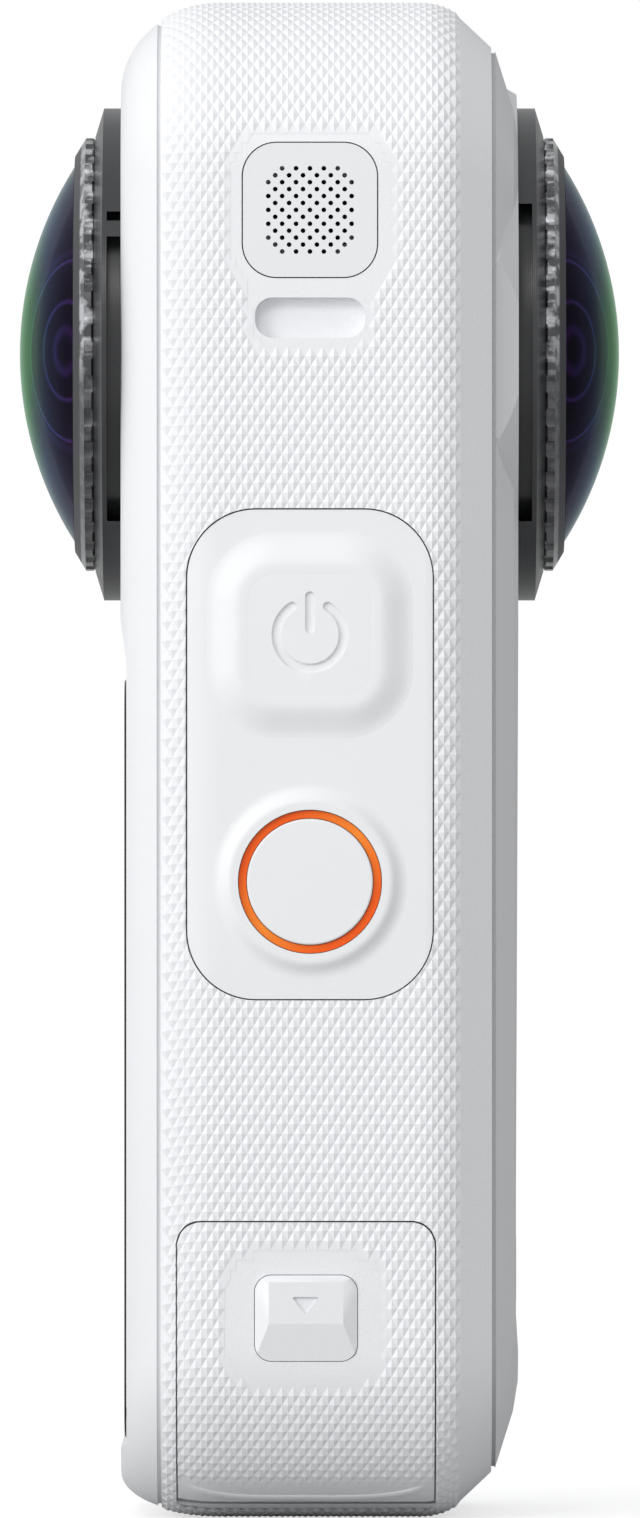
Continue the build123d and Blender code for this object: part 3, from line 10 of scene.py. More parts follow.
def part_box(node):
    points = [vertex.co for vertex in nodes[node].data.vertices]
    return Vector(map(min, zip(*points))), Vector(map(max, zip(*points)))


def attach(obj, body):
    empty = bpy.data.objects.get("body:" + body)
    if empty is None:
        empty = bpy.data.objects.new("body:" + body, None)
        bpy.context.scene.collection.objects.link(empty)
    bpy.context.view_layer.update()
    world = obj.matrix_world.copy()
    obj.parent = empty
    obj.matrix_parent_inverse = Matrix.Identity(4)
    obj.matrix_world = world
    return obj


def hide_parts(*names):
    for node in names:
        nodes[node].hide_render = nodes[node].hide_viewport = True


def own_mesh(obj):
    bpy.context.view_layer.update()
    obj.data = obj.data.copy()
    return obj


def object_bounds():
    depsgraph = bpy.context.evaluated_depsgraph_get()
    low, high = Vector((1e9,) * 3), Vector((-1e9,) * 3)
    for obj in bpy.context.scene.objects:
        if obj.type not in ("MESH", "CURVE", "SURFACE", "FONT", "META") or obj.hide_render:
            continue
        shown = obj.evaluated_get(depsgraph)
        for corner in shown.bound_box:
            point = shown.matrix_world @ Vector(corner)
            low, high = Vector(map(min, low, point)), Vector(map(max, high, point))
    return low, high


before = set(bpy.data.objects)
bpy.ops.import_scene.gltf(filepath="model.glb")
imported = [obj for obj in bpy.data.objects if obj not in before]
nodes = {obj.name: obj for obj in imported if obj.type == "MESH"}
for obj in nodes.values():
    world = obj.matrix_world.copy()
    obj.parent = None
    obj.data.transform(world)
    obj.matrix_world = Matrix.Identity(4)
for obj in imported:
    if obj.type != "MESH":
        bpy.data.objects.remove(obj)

bl_info = {
    "name": "360 degree camera dressing",
    "version": (1, 0, 0),
    "blender": (4, 5, 0),
    "location": "View3D > Sidebar > Camera dressing",
    "description": "Knurled skin, engraved signs and finishes for a slim two-lens camera",
    "category": "Object",
}

MM = 0.001
cad_low, cad_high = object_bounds()

# Sizes of the body that the skin and the signs are laid on, in millimetres
HALF_WIDTH = 22.9
BODY_HEIGHT = 113.6
CORNER_RADIUS = 12.6
CORNER_Y = HALF_WIDTH - CORNER_RADIUS
REAR_ROUND_X = 7.6
FRONT_ROUND_X = 7.9
FACE_X = 14.9
STRIP_X = 10.6
REAR_INSETS = (6.6, 6.2, 3.2)
STRIP_INSET = 1.05
LENS_Z = 87.5
SIDE_X = -0.71
SEAM_GAP = 0.1
REAR_SEAM_X = -12.15
FRONT_SEAM_X = 13.2
BAND_LEFT, BAND_RIGHT = -11.82, 10.54
RECORD_Z = 47.7
LATCH_X = -1.05
HINGE_LAND = 1.3

# Slope of the edge that the port door's foot ends at
DOOR_EDGE_ANGLE = math.radians(25)

# Rounded outlines on the two sides of the band: the middle across and up, half the width,
# half the height and the corner radius
PANEL = (SIDE_X, 57.2, 9.15, 18.25, 5.1)
POWER = (SIDE_X, 66.1, 5.1, 5.1, 2.6)
DOOR = (-1.0, 0.0, 9.7, 22.4, 1.8)
COVER = (-0.5, 44.5, 9.3, 24.3, 2.6)
CATCH = (-0.5, 59.85, 4.1, 3.15, 1.2)

# The same for the plain margins that the diamonds leave free
GRILLE_MARGIN = (-0.6, 97.85, 6.28, 6.15, 3.4)
NOTCH_MARGIN = (-0.71, 89.7, 4.6, 2.5, 2.2)
LATCH_MARGIN = (-1.13, 15.07, 6.0, 5.34, 3.1)

# Distances at which the skin blends, ends or fades, in millimetres
MARGIN_BLEND = 2.4
CATCH_MARGIN = 1.2
SOCKET_MARGIN = 8.5
EDGE_CLEARANCE = 0.02
COVER_CLEARANCE = 0.03
CATCH_GAP = 0.15
DOOR_CLEAR = 40.0
RIM_WIDTH, RIM_SOFTNESS = 2.75, 0.7
FAR_AWAY = 99.0

# Middle of the painted reflection arcs in the domes, measured out from the body's middle
PAINTED_ARC_X, PAINTED_ARC_Y = 17.0, 12.0

WHITE = (1.0, 1.0, 1.0, 1.0)


def srgb(red, green, blue):
    """Linear colour of a screen colour given in steps of 255."""
    steps = [c / 255 for c in (red, green, blue)]
    return tuple(((s + 0.055) / 1.055) ** 2.4 if s > 10 / 255 else s / 12.92 for s in steps)


def length_setting(name, description, default):
    """Setting of a length whose default is given in millimetres."""
    return FloatProperty(name=name, description=description, default=default * MM, unit="LENGTH")


def colour_setting(name, description, default):
    return FloatVectorProperty(
        name=name, description=description, default=default, subtype="COLOR", size=3
    )


class KnurlSizes(bpy.types.PropertyGroup):
    """Size of the diamonds that cover the grip band"""

    diamond_width: length_setting("Diamond width", "Width of a diamond across the band", 0.86)
    diamond_height: length_setting("Diamond height", "Height of a diamond along the band", 1.4496)
    peak: length_setting("Peak", "Height of a diamond's tip over the valleys round it", 0.155)
    lift: length_setting("Lift", "Height of the valleys over the moulded band", 0.02)
    fade: length_setting("Fade", "Width over which the diamonds die away at a plain margin", 0.3)


class SignSizes(bpy.types.PropertyGroup):
    """Size of the signs engraved in the buttons"""

    power_radius: length_setting(
        "Power sign radius", "Radius of the middle of the power sign's stroke", 2.5
    )
    stroke: length_setting("Stroke", "Width of the engraved strokes", 0.72)
    depth: length_setting("Depth", "Depth of the engraving", 0.24)
    gap_angle: FloatProperty(
        name="Gap",
        description="Opening at the top of the power sign",
        default=math.radians(64),
        subtype="ANGLE",
    )
    triangle_width: length_setting(
        "Triangle width", "Width of the sign on the door's latch", 2.05
    )


class BodyColours(bpy.types.PropertyGroup):
    """Colours of the parts that show"""

    shell: colour_setting(
        "Shell", "White of the moulded shells and the band", srgb(238, 239, 241)
    )
    soft: colour_setting(
        "Button panel", "White of the soft button panel", srgb(238, 239, 240)
    )
    orange: colour_setting(
        "Ring", "Orange of the ring round the record button", srgb(240, 88, 4)
    )
    guard: colour_setting(
        "Guard ring", "Dark grey of the ring that is gripped to turn the guard", srgb(50, 51, 54)
    )
    base: colour_setting(
        "Base ring", "Near black of the ring that the guard turns in", srgb(42, 43, 45)
    )


class StageSettings(bpy.types.PropertyGroup):
    """Light and camera"""

    key_power: FloatProperty(
        name="Key light",
        description="Power of the large soft light at the left",
        default=3.25,
        unit="POWER",
    )
    fill_power: FloatProperty(
        name="Fill light",
        description="Power of the light at the right",
        default=0.02,
        unit="POWER",
    )
    top_power: FloatProperty(
        name="Top light",
        description="Power of the light overhead",
        default=1.3,
        unit="POWER",
    )
    surround: FloatProperty(
        name="Surround",
        description="Brightness of the white surround on the object",
        default=0.6,
    )
    surround_lean: FloatVectorProperty(
        name="Surround lean",
        description="How much brighter the surround is towards the left, the viewer and the top",
        default=(-0.21, -0.15, 0.17),
        subtype="DIRECTION",
        size=3,
    )
    lens: FloatProperty(
        name="Lens",
        description="Focal length of the viewing camera",
        default=450.0,
        unit="CAMERA",
    )
    view_height: length_setting(
        "View height", "Height of the view at the camera's button side", 113.2
    )


GROUPS = {
    "knurl_sizes": KnurlSizes,
    "sign_sizes": SignSizes,
    "body_colours": BodyColours,
    "stage_settings": StageSettings,
}


# Shader building


class Wire:
    """A socket of a finish. An expression on wires adds Math nodes."""

    def __init__(self, finish, socket):
        self.finish = finish
        self.socket = socket

    def maths(self, operation, *values):
        return self.finish.node("ShaderNodeMath", {"operation": operation}, dict(enumerate(values)))

    def __add__(self, other):
        return self.maths("ADD", self, other)

    def __radd__(self, other):
        return self.maths("ADD", other, self)

    def __sub__(self, other):
        return self.maths("SUBTRACT", self, other)

    def __rsub__(self, other):
        return self.maths("SUBTRACT", other, self)

    def __mul__(self, other):
        return self.maths("MULTIPLY", self, other)

    def __rmul__(self, other):
        return self.maths("MULTIPLY", other, self)

    def __truediv__(self, other):
        return self.maths("DIVIDE", self, other)

    def __rtruediv__(self, other):
        return self.maths("DIVIDE", other, self)

    def __pow__(self, other):
        return self.maths("POWER", self, other)

    def at_least(self, other):
        return self.maths("MAXIMUM", self, other)

    def at_most(self, other):
        return self.maths("MINIMUM", self, other)

    def clipped(self):
        """The value kept between 0 and 1."""
        return self.at_least(0.0).at_most(1.0)

    def line(self, place, width):
        """1 where the value is at this place, down to 0 this far from it."""
        return (1.0 - (self - place).absolute() * (1 / width)).at_least(0.0)

    def sine(self):
        return self.maths("SINE", self)

    def root(self):
        return self.maths("SQRT", self)

    def absolute(self):
        return self.maths("ABSOLUTE", self)


class Finish:
    """A material or a surround under construction."""

    def __init__(self, name, kind="materials"):
        self.owner = getattr(bpy.data, kind).new(name)
        self.owner.use_nodes = True
        self.tree = self.owner.node_tree
        self.tree.nodes.clear()
        self.end = "ShaderNodeOutputWorld" if kind == "worlds" else "ShaderNodeOutputMaterial"

    def node(self, kind, settings=None, values=None, output=0):
        """Adds a node: its settings first, then the values or wires of its sockets."""
        made = self.tree.nodes.new(kind)
        for name, value in (settings or {}).items():
            if name == "stops":
                ramp = made.color_ramp
                while len(ramp.elements) < len(value):
                    ramp.elements.new(1.0)
                for element, (position, colour) in zip(ramp.elements, value):
                    element.position = position
                    element.color = (*colour, 1.0)
            else:
                setattr(made, name, value)
        for name, value in (values or {}).items():
            if isinstance(value, Wire):
                self.tree.links.new(value.socket, made.inputs[name])
            else:
                made.inputs[name].default_value = value
        return Wire(self, made.outputs[output])

    def place(self):
        """Place on the object, in metres."""
        return self.node("ShaderNodeTexCoord", output="Object")

    def axes(self):
        """The place's three parts as wires."""
        split = self.node("ShaderNodeSeparateXYZ", values={"Vector": self.place()})
        parts = split.socket.node.outputs
        return [Wire(self, parts[i]) for i in range(3)]

    def noise(self, size, detail=2.0, stretch=(1.0, 1.0, 1.0)):
        """Soft noise with features of about this size in metres."""
        scale = [s / size for s in stretch]
        where = self.node("ShaderNodeMapping", values={"Vector": self.place(), "Scale": scale})
        values = {"Vector": where, "Scale": 1.0, "Detail": detail}
        return self.node("ShaderNodeTexNoise", values=values)

    def cells(self, size):
        """Small cells of about this size in metres."""
        values = {"Vector": self.place(), "Scale": 1.0 / size}
        return self.node("ShaderNodeTexVoronoi", values=values, output="Distance")

    def ramp(self, factor, *stops):
        return self.node("ShaderNodeValToRGB", {"stops": stops}, {"Fac": factor})

    def blend(self, factor, first, second):
        """Colour between two colours."""
        colours = {0: factor, 6: first, 7: second}
        for key in (6, 7):
            if not isinstance(colours[key], Wire):
                colours[key] = (*colours[key][:3], 1.0)
        return self.node("ShaderNodeMix", {"data_type": "RGBA"}, colours, output=2)

    def bump(self, height, depth):
        """Normal of a surface whose height varies by this depth in metres."""
        return self.node("ShaderNodeBump", values={"Height": height, "Distance": depth})

    def surface(self, **values):
        """Main shader. Underscores in the names stand for spaces."""
        sockets = {name.replace("_", " "): value for name, value in values.items()}
        sockets = {name: fix_colour(name, value) for name, value in sockets.items()}
        return self.node("ShaderNodeBsdfPrincipled", values=sockets)

    def done(self, shader):
        end = self.tree.nodes.new(self.end)
        self.tree.links.new(shader.socket, end.inputs["Surface"])
        return self.owner


def fix_colour(name, value):
    if isinstance(value, tuple) and len(value) == 3 and ("Color" in name or "Tint" in name):
        return (*value, 1.0)
    return value


def darker(colour, share):
    return tuple(c * share for c in colour[:3])


def from_lens_axis(y, z):
    """Distance from the lenses' axis, in metres."""
    up = z - LENS_Z * MM
    return (y * y + up * up).root()


def moulded_white(name, colour, grain, grain_depth, roughness, shading):
    """Moulded white plastic with a fine stipple and slight unevenness."""
    finish = Finish(name)
    stipple = finish.cells(grain) * 0.6 + finish.noise(grain * 0.6, 1.0) * 0.7
    cloud = finish.noise(9 * MM, 3.0)
    # The shading function adds dust, or painted shade on the flanks or at the seams.
    tone, dullness = shading(finish, finish.blend(cloud, darker(colour, 0.985), colour), colour)
    shader = finish.surface(
        Base_Color=tone,
        Roughness=roughness + (cloud - 0.5) * 0.12 + (stipple - 0.5) * 0.05 + dullness,
        Normal=finish.bump(stipple, grain_depth),
        IOR=1.5,
    )
    return finish.done(shader)


def dusty(finish, tone, colour):
    """A little dust caught in the stipple."""
    dust = (finish.noise(0.5 * MM, 2.0) - 0.62).at_least(0.0) * 0.5
    return finish.blend(dust, tone, darker(colour, 0.86)), 0.0


def shaded_flanks(finish, tone, colour):
    """Soft shade on the flanks, where the shell turns to the side."""
    facing = finish.node("ShaderNodeNewGeometry", output="Normal")
    parts = finish.node("ShaderNodeSeparateXYZ", values={"Vector": facing}).socket.node.outputs
    side = Wire(finish, parts["Y"]).absolute()
    return finish.blend(((side - 0.4) * 1.9).clipped(), tone, darker(colour, 0.66)), 0.0


def shaded_seams(finish, tone, colour):
    """Shade where the band is stepped down beside the shells."""
    x = finish.axes()[0]
    step, soften = 0.3 * MM, 1 / (0.02 * MM)
    rear = ((REAR_SEAM_X * MM + step - x) * soften).clipped()
    front = ((x - FRONT_SEAM_X * MM + step) * soften).clipped()
    tone = finish.blend(rear, tone, srgb(222, 223, 225))
    return finish.blend(front, tone, srgb(188, 189, 191)), (rear + front) * 0.2


def soft_white(name, colour):
    """Soft-touch rubbery white, smoother than the shells."""
    finish = Finish(name)
    fine = finish.noise(0.09 * MM, 2.0)
    cloud = finish.noise(7 * MM, 3.0)
    wear = (finish.noise(2.2 * MM, 4.0) - 0.6).at_least(0.0)
    tone = finish.blend(cloud, darker(colour, 0.985), colour)
    shader = finish.surface(
        Base_Color=finish.blend(wear * 0.5, tone, darker(colour, 0.9)),
        Roughness=0.5 + (cloud - 0.5) * 0.1 - wear * 0.3,
        Normal=finish.bump(fine, 0.004 * MM),
        IOR=1.46,
    )
    return finish.done(shader)


def turned_black(name, colour, roughness, gloss=0.0):
    """Black plastic or metal turned about the lens axis, with fine rings."""
    finish = Finish(name)
    x, y, z = finish.axes()
    turns = from_lens_axis(y, z) * (2 * math.pi / (0.16 * MM)) + x * (2 * math.pi / (0.14 * MM))
    rings = turns.sine() * 0.5 + 0.5
    grain = finish.noise(0.12 * MM, 2.0)
    cloud = finish.noise(4 * MM, 3.0)
    scuff = (finish.noise(0.9 * MM, 4.0, (0.4, 1.0, 1.0)) - 0.62).at_least(0.0)
    tone = finish.blend(cloud, darker(colour, 0.82), colour)
    shader = finish.surface(
        Base_Color=finish.blend(scuff * 1.2, tone, darker(colour, 1.9)),
        Roughness=roughness + (cloud - 0.5) * 0.14 + rings * 0.04,
        Normal=finish.bump(rings * 0.4 + grain * 0.6, 0.006 * MM),
        IOR=1.5,
        Coat_Weight=gloss,
        Coat_Roughness=0.2,
    )
    return finish.done(shader)


def plain_rubber(name, colour):
    """Matte rubber with a dusty grain."""
    finish = Finish(name)
    grain = finish.noise(0.08 * MM, 3.0)
    cloud = finish.noise(3 * MM, 3.0)
    shader = finish.surface(
        Base_Color=finish.blend(cloud, colour, darker(colour, 1.6)),
        Roughness=0.78 + (grain - 0.5) * 0.12,
        Normal=finish.bump(grain, 0.01 * MM),
    )
    return finish.done(shader)


def glossy_orange(name, colour):
    """Moulded orange ring with painted highlights: its colour is lighter across the diagonal from
    lower left to upper right.
    """
    finish = Finish(name)
    x, _, z = finish.axes()
    # Painted highlight: the colour is lighter towards the diagonal through the lower left and the
    # upper right of the ring, where light falls on it.
    across = (x - SIDE_X * MM) - (z - RECORD_Z * MM)
    painted_highlight_slant = (across * (1 / (12 * MM)) + 0.5).clipped()
    ends = (painted_highlight_slant - 0.5).absolute() * 2.0
    cloud = finish.noise(1.5 * MM, 2.0)
    # The light orange is the painted highlight's colour.
    tone = finish.blend((1.0 - ends) * 0.75 + cloud * 0.1, colour, srgb(255, 152, 48))
    shader = finish.surface(
        Base_Color=tone,
        Roughness=0.32 + (cloud - 0.5) * 0.1,
        Normal=finish.bump(finish.noise(0.1 * MM, 2.0), 0.003 * MM),
        Coat_Weight=0.1,
        Coat_Roughness=0.2,
        IOR=1.35,
    )
    return finish.done(shader)


def black_glass(name, tint=(0.004, 0.004, 0.005)):
    """Black cover glass, with the faint smears of handling in its gloss."""
    finish = Finish(name)
    smear = finish.noise(14 * MM, 4.0, (1.0, 1.0, 0.35))
    dust = (finish.noise(0.35 * MM, 1.0) - 0.72).at_least(0.0)
    shader = finish.surface(
        Base_Color=finish.blend(dust * 2.0, tint, (0.05, 0.05, 0.05)),
        Roughness=0.05 + (smear - 0.45).at_least(0.0) * 0.16,
        Normal=finish.bump(smear, 0.002 * MM),
        IOR=1.38,
    )
    return finish.done(shader)


def coated_glass(name, rim_radius, tint, ior, strength, falloff, rings=(), painted_arcs=()):
    """Dark clear glass, coated green over the crown and blue to purple towards the rim, with
    painted reflections: lines and arcs of extra sheen at set places.
    """
    finish = Finish(name)
    x, y, z = finish.axes()
    radius = from_lens_axis(y, z) * (1 / (rim_radius * MM))
    drift = (finish.noise(6 * MM, 2.0) - 0.5) * 0.12
    coating = finish.ramp(
        radius + drift,
        (0.0, srgb(104, 236, 106)),
        (0.42, srgb(100, 224, 116)),
        (0.58, srgb(112, 170, 176)),
        (0.74, srgb(104, 96, 216)),
        (1.0, srgb(118, 44, 168)),
    )
    smear = finish.noise(3 * MM, 3.0)
    body = finish.surface(
        Base_Color=finish.blend(smear * 0.2, tint, darker(tint, 0.8)),
        Roughness=0.01 + (smear - 0.5).at_least(0.0) * 0.05,
        Transmission_Weight=1.0,
        IOR=ior,
    )
    sheen = finish.surface(
        Base_Color=coating,
        Metallic=1.0,
        Roughness=0.1 + smear * 0.05,
        Specular_Tint=(0.62, 0.93, 0.74),
    )
    facing = finish.node("ShaderNodeLayerWeight", values={"Blend": 0.5}, output="Facing")
    share = (facing ** falloff) * strength + 0.012
    # Painted reflections: lines of extra sheen at set radii of the glass.
    for place, width, depth in rings:
        share = share + radius.line(place, width) * depth
    # Painted reflections: faint arcs of extra sheen round set points, for the barrel's reflections.
    for place, width, depth in painted_arcs:
        across = x.absolute() - PAINTED_ARC_X * MM
        inward = from_lens_axis(y.absolute() - PAINTED_ARC_Y * MM, z)
        reach = (across * across + inward * inward).root()
        share = share + reach.line(place * MM, width * MM) * depth
    mixed = finish.node("ShaderNodeMixShader", values={0: share.at_most(1.0), 1: body, 2: sheen})
    return finish.done(mixed)


def gripped_ring(name, colour):
    """Dark grey guard ring with a glossy scalloped band; its broken reflections are painted into
    the colour as light silver flecks, strongest in the upper half.
    """
    finish = Finish(name)
    x, y, z = finish.axes()
    out = x.absolute()
    inner_x, outer_x, inner_radius = 16.9 * MM, 18.05 * MM, 15.5 * MM
    band = ((out - inner_x) * (1 / (0.12 * MM))).clipped()
    band = band * ((outer_x - out) * (1 / (0.12 * MM))).clipped()
    band = band * ((from_lens_axis(y, z) - inner_radius) * (1 / (0.2 * MM))).clipped()
    # Painted reflections: light flecks on the scalloped band, painted brighter on the upper half
    # where the light falls. The same flecks also shape the bump.
    flake_bumps_and_glints = (finish.noise(0.95 * MM, 5.0, (0.6, 1.0, 1.0)) - 0.46).at_least(0.0) * 7.0
    painted_top_light = ((z - (LENS_Z - 3) * MM) * (1 / (4 * MM))).at_least(0.12).at_most(1.0)
    painted_reflection = band * flake_bumps_and_glints.at_most(1.0) * painted_top_light
    grain = finish.noise(0.14 * MM, 2.0)
    tone = finish.blend(finish.noise(4 * MM, 3.0), darker(colour, 0.85), colour)
    shader = finish.surface(
        # Painted reflection colour of the flecks.
        Base_Color=finish.blend(painted_reflection, tone, srgb(206, 206, 210)),
        Roughness=0.4 - band * 0.2 + (grain - 0.5) * 0.12,
        Metallic=painted_reflection * 0.7,
        Normal=finish.bump(grain * 0.5 + flake_bumps_and_glints * band * 0.5, 0.012 * MM),
        IOR=1.55,
        Coat_Weight=band * 0.8,
        Coat_Roughness=0.12,
    )
    return finish.done(shader)


def circuit_board(name, colour):
    """Solder-masked board with faint copper tracks under the mask."""
    finish = Finish(name)
    tracks = finish.node(
        "ShaderNodeTexVoronoi",
        {"distance": "MANHATTAN", "feature": "F2"},
        {"Vector": finish.place(), "Scale": 1 / (2.6 * MM)},
        output="Distance",
    )
    lines = (tracks * 9.0).sine() * 0.5 + 0.5
    grain = finish.noise(0.2 * MM, 2.0)
    shader = finish.surface(
        Base_Color=finish.blend(lines, darker(colour, 0.6), darker(colour, 1.5)),
        Roughness=0.36 + (grain - 0.5) * 0.1,
        Normal=finish.bump(lines + grain * 0.2, 0.03 * MM),
    )
    return finish.done(shader)


def bright_metal(name, colour, roughness, stretch):
    """Metal with a fine brushed grain."""
    finish = Finish(name)
    grain = finish.noise(0.6 * MM, 3.0, stretch)
    cloud = finish.noise(5 * MM, 3.0)
    shader = finish.surface(
        Base_Color=finish.blend(cloud, darker(colour, 0.85), colour),
        Metallic=1.0,
        Roughness=roughness + (grain - 0.5) * 0.2,
        Normal=finish.bump(grain, 0.006 * MM),
    )
    return finish.done(shader)


def sensor_glass(name):
    """Image sensor under its glass, with the shimmer of its fine grid."""
    finish = Finish(name)
    _, y, z = finish.axes()
    shimmer = finish.noise(3 * MM, 2.0)
    stops = (0.2, srgb(30, 22, 62)), (0.5, srgb(24, 60, 66)), (0.8, srgb(70, 30, 60))
    tone = finish.ramp(shimmer, *stops)
    turns = 2 * math.pi / (0.2 * MM)
    grid = (y * turns).sine() * (z * turns).sine()
    shader = finish.surface(
        Base_Color=tone,
        Roughness=0.14 + shimmer * 0.08,
        Metallic=0.4,
        Normal=finish.bump(grid, 0.002 * MM),
        Coat_Weight=0.8,
        Coat_Roughness=0.02,
    )
    return finish.done(shader)


def wrapped_pack(name, colour):
    """Hard grey wrapper of the battery."""
    finish = Finish(name)
    grain = finish.noise(0.14 * MM, 2.0)
    cloud = finish.noise(6 * MM, 3.0)
    shader = finish.surface(
        Base_Color=finish.blend(cloud, colour, darker(colour, 1.35)),
        Roughness=0.48 + (cloud - 0.5) * 0.12,
        Normal=finish.bump(grain, 0.012 * MM),
    )
    return finish.done(shader)


def dress(material, *names):
    """Gives CAD nodes this finish."""
    for name in names:
        data = nodes[name].data
        data.materials.clear()
        data.materials.append(material)


# Shapes


def rounded(point, area):
    """Signed distance in millimetres from a rounded rectangle's outline, negative inside."""
    middle_x, middle_z, half_x, half_z, radius = area
    across = abs(point[0] - middle_x) - (half_x - radius)
    along = abs(point[1] - middle_z) - (half_z - radius)
    outside = math.hypot(max(across, 0.0), max(along, 0.0))
    return outside + min(max(across, along), 0.0) - radius


def grown(area, margin):
    """A rounded rectangle drawn out by a margin."""
    middle_x, middle_z, half_x, half_z, radius = area
    return middle_x, middle_z, half_x + margin, half_z + margin, radius + margin


def smooth_union(first, second, blend):
    share = max(blend - abs(first - second), 0.0) / blend
    return min(first, second) - share * share * blend / 4


def smooth_step(value):
    value = min(max(value, 0.0), 1.0)
    return value * value * (3 - 2 * value)


def section_insets(x):
    """How far the body's outline is drawn in at x, at its top, sides and bottom."""
    if x < -REAR_ROUND_X:
        share = min((-x - REAR_ROUND_X) / (FACE_X - REAR_ROUND_X), 1.0)
        drop = 1 - math.sqrt(1 - share * share)
        return tuple(drop * inset for inset in REAR_INSETS)
    if x > FRONT_ROUND_X:
        share = min((x - FRONT_ROUND_X) / (STRIP_X - FRONT_ROUND_X), 1.0)
        return (share * share * STRIP_INSET,) * 3
    return 0.0, 0.0, 0.0


QUARTER = CORNER_RADIUS * math.pi / 2
SIDE_RUN = BODY_HEIGHT - 2 * CORNER_RADIUS
RUNS = (CORNER_Y, QUARTER, SIDE_RUN, QUARTER, 2 * CORNER_Y, QUARTER, SIDE_RUN, QUARTER, CORNER_Y)
ROUND = sum(RUNS)


def body_place(x, along):
    """Point of the body's surface at x, this far round from the middle of the base."""
    top, side, bottom = section_insets(x)
    radius = CORNER_RADIUS - side
    low, high = bottom + radius, BODY_HEIGHT - top - radius
    along = along % ROUND
    for index, run in enumerate(RUNS):
        if along <= run or index == len(RUNS) - 1:
            share = along / run
            break
        along -= run
    corners = {
        1: (-CORNER_Y, low, 270),
        3: (-CORNER_Y, high, 180),
        5: (CORNER_Y, high, 90),
        7: (CORNER_Y, low, 0),
    }
    if index in corners:
        y, z, start = corners[index]
        angle = math.radians(start - 90 * share)
        return Vector((x, y + radius * math.cos(angle), z + radius * math.sin(angle)))
    ends = {
        0: ((0, low - radius), (-CORNER_Y, low - radius)),
        2: ((-CORNER_Y - radius, low), (-CORNER_Y - radius, high)),
        4: ((-CORNER_Y, high + radius), (CORNER_Y, high + radius)),
        6: ((CORNER_Y + radius, high), (CORNER_Y + radius, low)),
        8: ((CORNER_Y, low - radius), (0, low - radius)),
    }[index]
    (y0, z0), (y1, z1) = ends
    return Vector((x, y0 + (y1 - y0) * share, z0 + (z1 - z0) * share))


def body_normal(x, along):
    """Outward direction of the body's surface."""
    step = 0.02
    across = body_place(x + step, along) - body_place(x - step, along)
    onward = body_place(x, along + step) - body_place(x, along - step)
    return across.cross(onward).normalized()


def plain_margin(point):
    """Distance in millimetres outside the plain margins round the side's features."""
    x, y, z = point
    if y < -CORNER_Y:
        grille = rounded((x, z), GRILLE_MARGIN)
        notch = rounded((x, z), NOTCH_MARGIN)
        return min(smooth_union(grille, notch, MARGIN_BLEND), rounded((x, z), LATCH_MARGIN))
    if y > CORNER_Y:
        return rounded((x, z), grown(CATCH, CATCH_MARGIN))
    if z < CORNER_RADIUS:
        return math.hypot(x, y) - SOCKET_MARGIN
    return FAR_AWAY


def foot_distance(point):
    """Distance in millimetres past the edge that the port door's foot ends at."""
    _, y, z = point
    out, up = math.cos(DOOR_EDGE_ANGLE), math.sin(DOOR_EDGE_ANGLE)
    return out * (y + CORNER_Y) - up * (z - CORNER_RADIUS)


def door_distance(point, land=0.0):
    """Signed distance in millimetres from the port door's outline, with a land under its foot."""
    x, y, z = point
    if y > 0 or z > DOOR_CLEAR:
        return FAR_AWAY
    return max(rounded((x, z), DOOR), foot_distance(point) - land)


def band_keep(point):
    """Positive on the band outside the door, the panel and the battery cover."""
    x, y, z = point
    if y < -CORNER_Y / 2:
        panel = rounded((x, z), grown(PANEL, SEAM_GAP))
        return min(door_distance(point, HINGE_LAND), panel) - EDGE_CLEARANCE
    if y > CORNER_Y:
        return rounded((x, z), grown(COVER, SEAM_GAP)) - EDGE_CLEARANCE
    return FAR_AWAY


def door_keep(point):
    """Positive on the door."""
    return -door_distance(point) - SEAM_GAP - EDGE_CLEARANCE


def cover_keep(point):
    """Positive on the battery cover, outside its catch."""
    x, y, z = point
    if y < CORNER_Y:
        return -FAR_AWAY
    return min(-rounded((x, z), COVER) - COVER_CLEARANCE, rounded((x, z), grown(CATCH, CATCH_GAP)))


def no_fade(point):
    """1 everywhere, for a piece without a rim."""
    return 1.0


def rim_fade(point):
    """0 on the rim at the door's foot, 1 above it."""
    return smooth_step((-foot_distance(point) - RIM_WIDTH) / RIM_SOFTNESS)


def surface_finder(name):
    data = nodes[name].data
    return BVHTree.FromPolygons([v.co for v in data.vertices], [p.vertices for p in data.polygons])


def new_object(name, data):
    made = bpy.data.objects.new(name, data)
    bpy.context.scene.collection.objects.link(made)
    return made


def mesh_of(shape, name, turned_out=True, smooth=False):
    """Mesh of a finished shape. Its faces are turned outward first if they need it."""
    if turned_out:
        bmesh.ops.recalc_face_normals(shape, faces=shape.faces)
    data = bpy.data.meshes.new(name)
    shape.to_mesh(data)
    shape.free()
    if smooth:
        data.shade_smooth()
    return data


